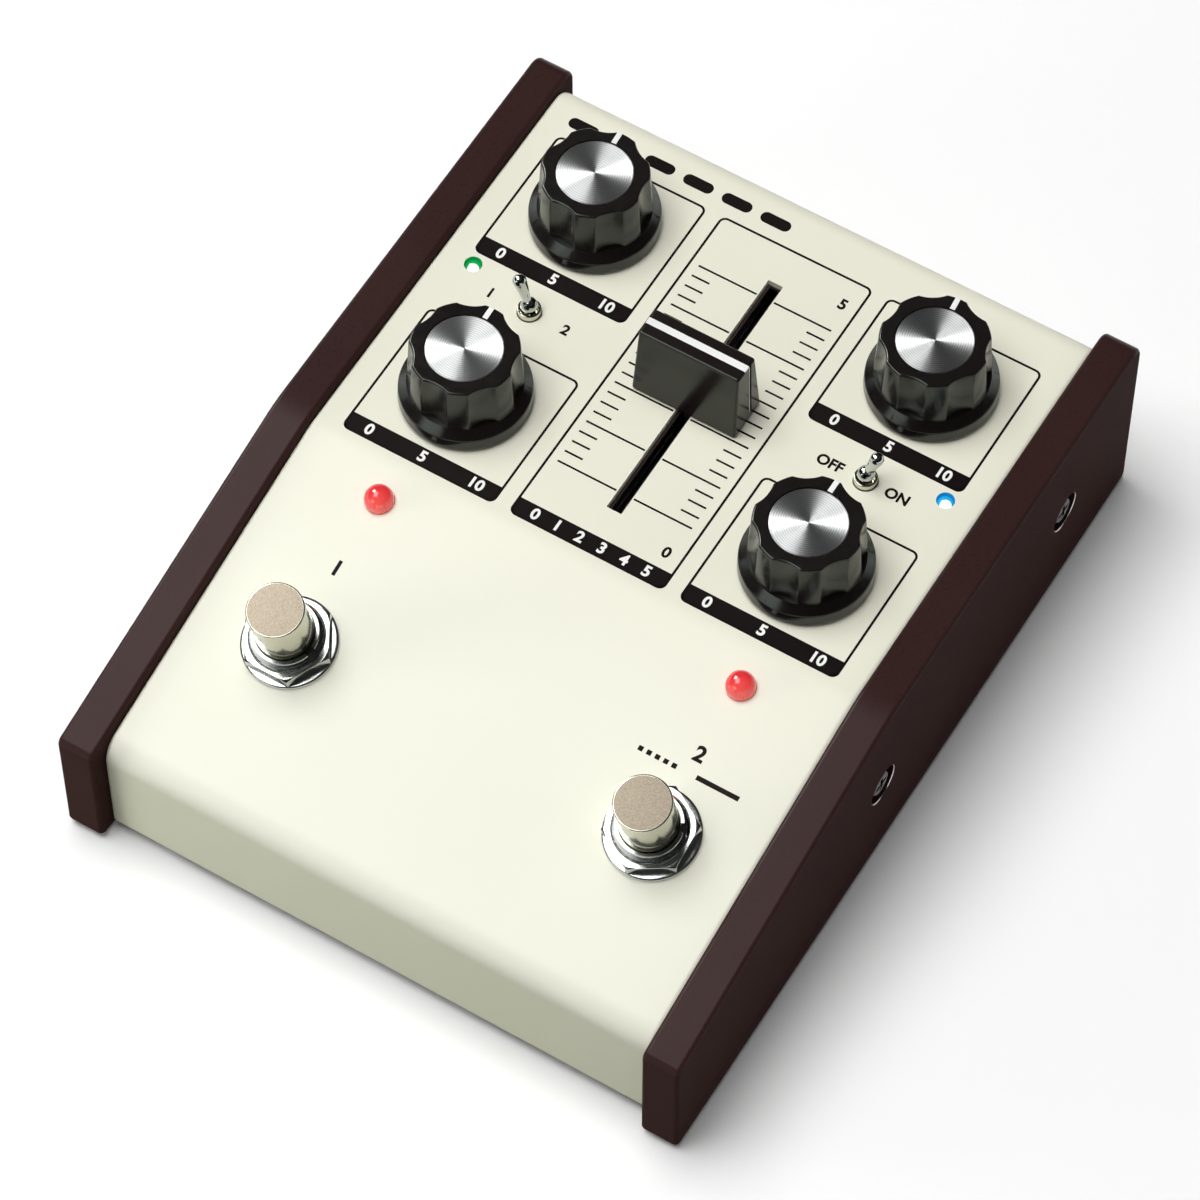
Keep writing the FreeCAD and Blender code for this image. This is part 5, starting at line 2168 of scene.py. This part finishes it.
@dataclass
class Studio:
    """The camera, the lights, the floor and the white background.

    Attributes:
        eye: Where the camera is.
        azimuth: Where it stands about Z, from the front, in degrees.
        elevation: How high it stands, in degrees.
        lens: Its focal length in millimetres.
        sensor: The width of its sensor in millimetres.
        clip: The nearest and the farthest that it sees.
        around: How strongly the surroundings light the scene.
        fade: How far from the middle the floor starts to turn white by itself, and ends doing so.
        floor: The floor's size and grey, and the grey that it gives back as soft light.
        ceiling: The ceiling's size, height and grey.
        walls: The radius of the dark walls, and the heights of their lower and upper edges.
        walls_grey: The walls' grey.
        matt: The roughness and the shine of all these surfaces.
        lights: The lamps, and the bright cards that only show as glints.
    """

    eye: Point = (0.26248, -0.43628, 0.84442)
    azimuth: float = 31.1437
    elevation: float = 58.4622
    lens: float = 176.86
    sensor: float = 36
    clip: Span = (0.01, 20)
    around: float = 0.2
    fade: Span = (0.25, 0.75)
    floor: Point = (8, 0.95, 0.35)
    ceiling: Point = (6, 2.4, 0.25)
    walls: Point = (2.4, 0.3, 2.2)
    walls_grey: float = 0.04
    matt: Span = (0.9, 0.1)
    lights: tuple[Light, ...] = (
        Light("key", (-0.28, -0.12, 1.30), (1.0, 0.9), 18.5),
        Light("left_fill", (-0.30, -0.26, 0.065), (0.15, 0.12), 0.42, (-0.02, -0.07, 0.02)),
        Light("right_fill", (1.0, 0.3, 0.4), (0.8, 0.6), 1.1, (0, 0, 0.02)),
        Light("overhead_card", (-0.52, -0.20, 1.30), (0.9, 0.75), 9.5, glint=True),
        Light("front_card", (-0.5, -1.2, 0.55), (0.7, 0.5), 2.2, glint=True),
        Light("left_card", (-0.91, 0.25, 0.90), (0.40, 0.5), 12.0, glint=True),
    )

    def camera(self) -> None:
        """Make the camera."""
        around, up = math.radians(self.azimuth), math.radians(self.elevation)
        level = math.cos(up)
        back = Vector((math.sin(around) * level, -math.cos(around) * level, math.sin(up)))
        right = Vector((math.cos(around), math.sin(around), 0))
        Bench.clear()
        bpy.ops.object.camera_add()
        camera = bpy.context.view_layer.objects.active
        camera.name = "camera"
        turn = Matrix((right, back.cross(right), back)).transposed()
        camera.matrix_world = Matrix.Translation(self.eye) @ turn.to_4x4()
        camera.data.lens = self.lens
        camera.data.sensor_width = self.sensor
        camera.data.clip_start, camera.data.clip_end = self.clip
        bpy.context.scene.camera = camera

    def surroundings(self) -> None:
        """Make the surroundings: white where they are seen, softer as light."""
        world = bpy.data.worlds.new("surroundings")
        bpy.context.scene.world = world
        world.use_nodes = True
        sheet = Sheet(world.node_tree)
        back = next(node for node in sheet.tree.nodes if node.type == "BACKGROUND")
        back.inputs["Color"].default_value = (1, 1, 1, 1)
        sheet.link(sheet.shown(self.around), back.inputs["Strength"])

    def paint(self, piece: Piece, grey: float) -> MaterialSheet:
        """Give a surface of the studio a matt grey.

        Args:
            piece: The surface.
            grey: How bright it is.

        Returns:
            The material's sheet.
        """
        sheet = MaterialSheet(piece.name + "_paint")
        rough, shine = self.matt
        sheet.shade(Base_Color=(grey, grey, grey), Roughness=rough, Specular_IOR_Level=shine)
        piece.data.materials.append(sheet.material)
        return sheet

    def plane(self, name: str, height: float, size: float, grey: float) -> MaterialSheet:
        """Add a large level surface.

        Args:
            name: Its name.
            height: Its height.
            size: The length of its sides.
            grey: How bright it is.

        Returns:
            Its material's sheet.
        """
        Bench.clear()
        bpy.ops.mesh.primitive_plane_add(size=size, location=(0, 0, height))
        return self.paint(Bench.named(name), grey)

    def whiten(self, sheet: MaterialSheet, bounce: float) -> None:
        """Let the floor be white where it is seen, and shine by itself away from the pedal.

        Args:
            sheet: The floor's sheet.
            bounce: The grey that it gives back as soft light.
        """
        sheet.feed(Base_Color=sheet.shown(bounce))
        share = sheet.span(sheet.distance(sheet.place()), 0, 1, *self.fade)
        sheet.shade(Emission_Color=(1, 1, 1))
        sheet.feed(Emission_Strength=sheet.maths("MULTIPLY", share, sheet.shown(0)))

    def flags(self) -> None:
        """Add dark walls round the studio that only show in glossy surfaces."""
        radius, low, high = self.walls
        Bench.clear()
        bpy.ops.mesh.primitive_cylinder_add(
            vertices=ROUND, radius=radius, depth=high - low, end_fill_type="NOTHING",
            location=(0, 0, (low + high) / 2),
        )
        walls = Bench.named("dark_walls")
        self.paint(walls, self.walls_grey)
        walls.visible_camera = False
        walls.visible_diffuse = False
        walls.visible_shadow = False
        walls.visible_transmission = False

    def build(self) -> None:
        """Set up the whole studio."""
        self.camera()
        size, grey, bounce = self.floor
        self.whiten(self.plane("floor", 0, size, grey), bounce)
        size, height, grey = self.ceiling
        self.plane("ceiling", height, size, grey)
        self.flags()
        self.surroundings()
        for light in self.lights:
            light.build()
        bpy.context.scene.view_settings.view_transform = "Standard"


def main() -> None:
    """Build the pedal and its studio."""
    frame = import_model()
    looks = Finishes()
    for part in (Case, Knob, Fader, Toggle, Lamp, FootSwitch, Print, Inside):
        log.info("building %s", part.__name__)
        part(frame, looks).build()
    Studio().build()


if __name__ == "__main__":
    logging.basicConfig(level=logging.INFO, format="%(name)s: %(message)s")
    main()
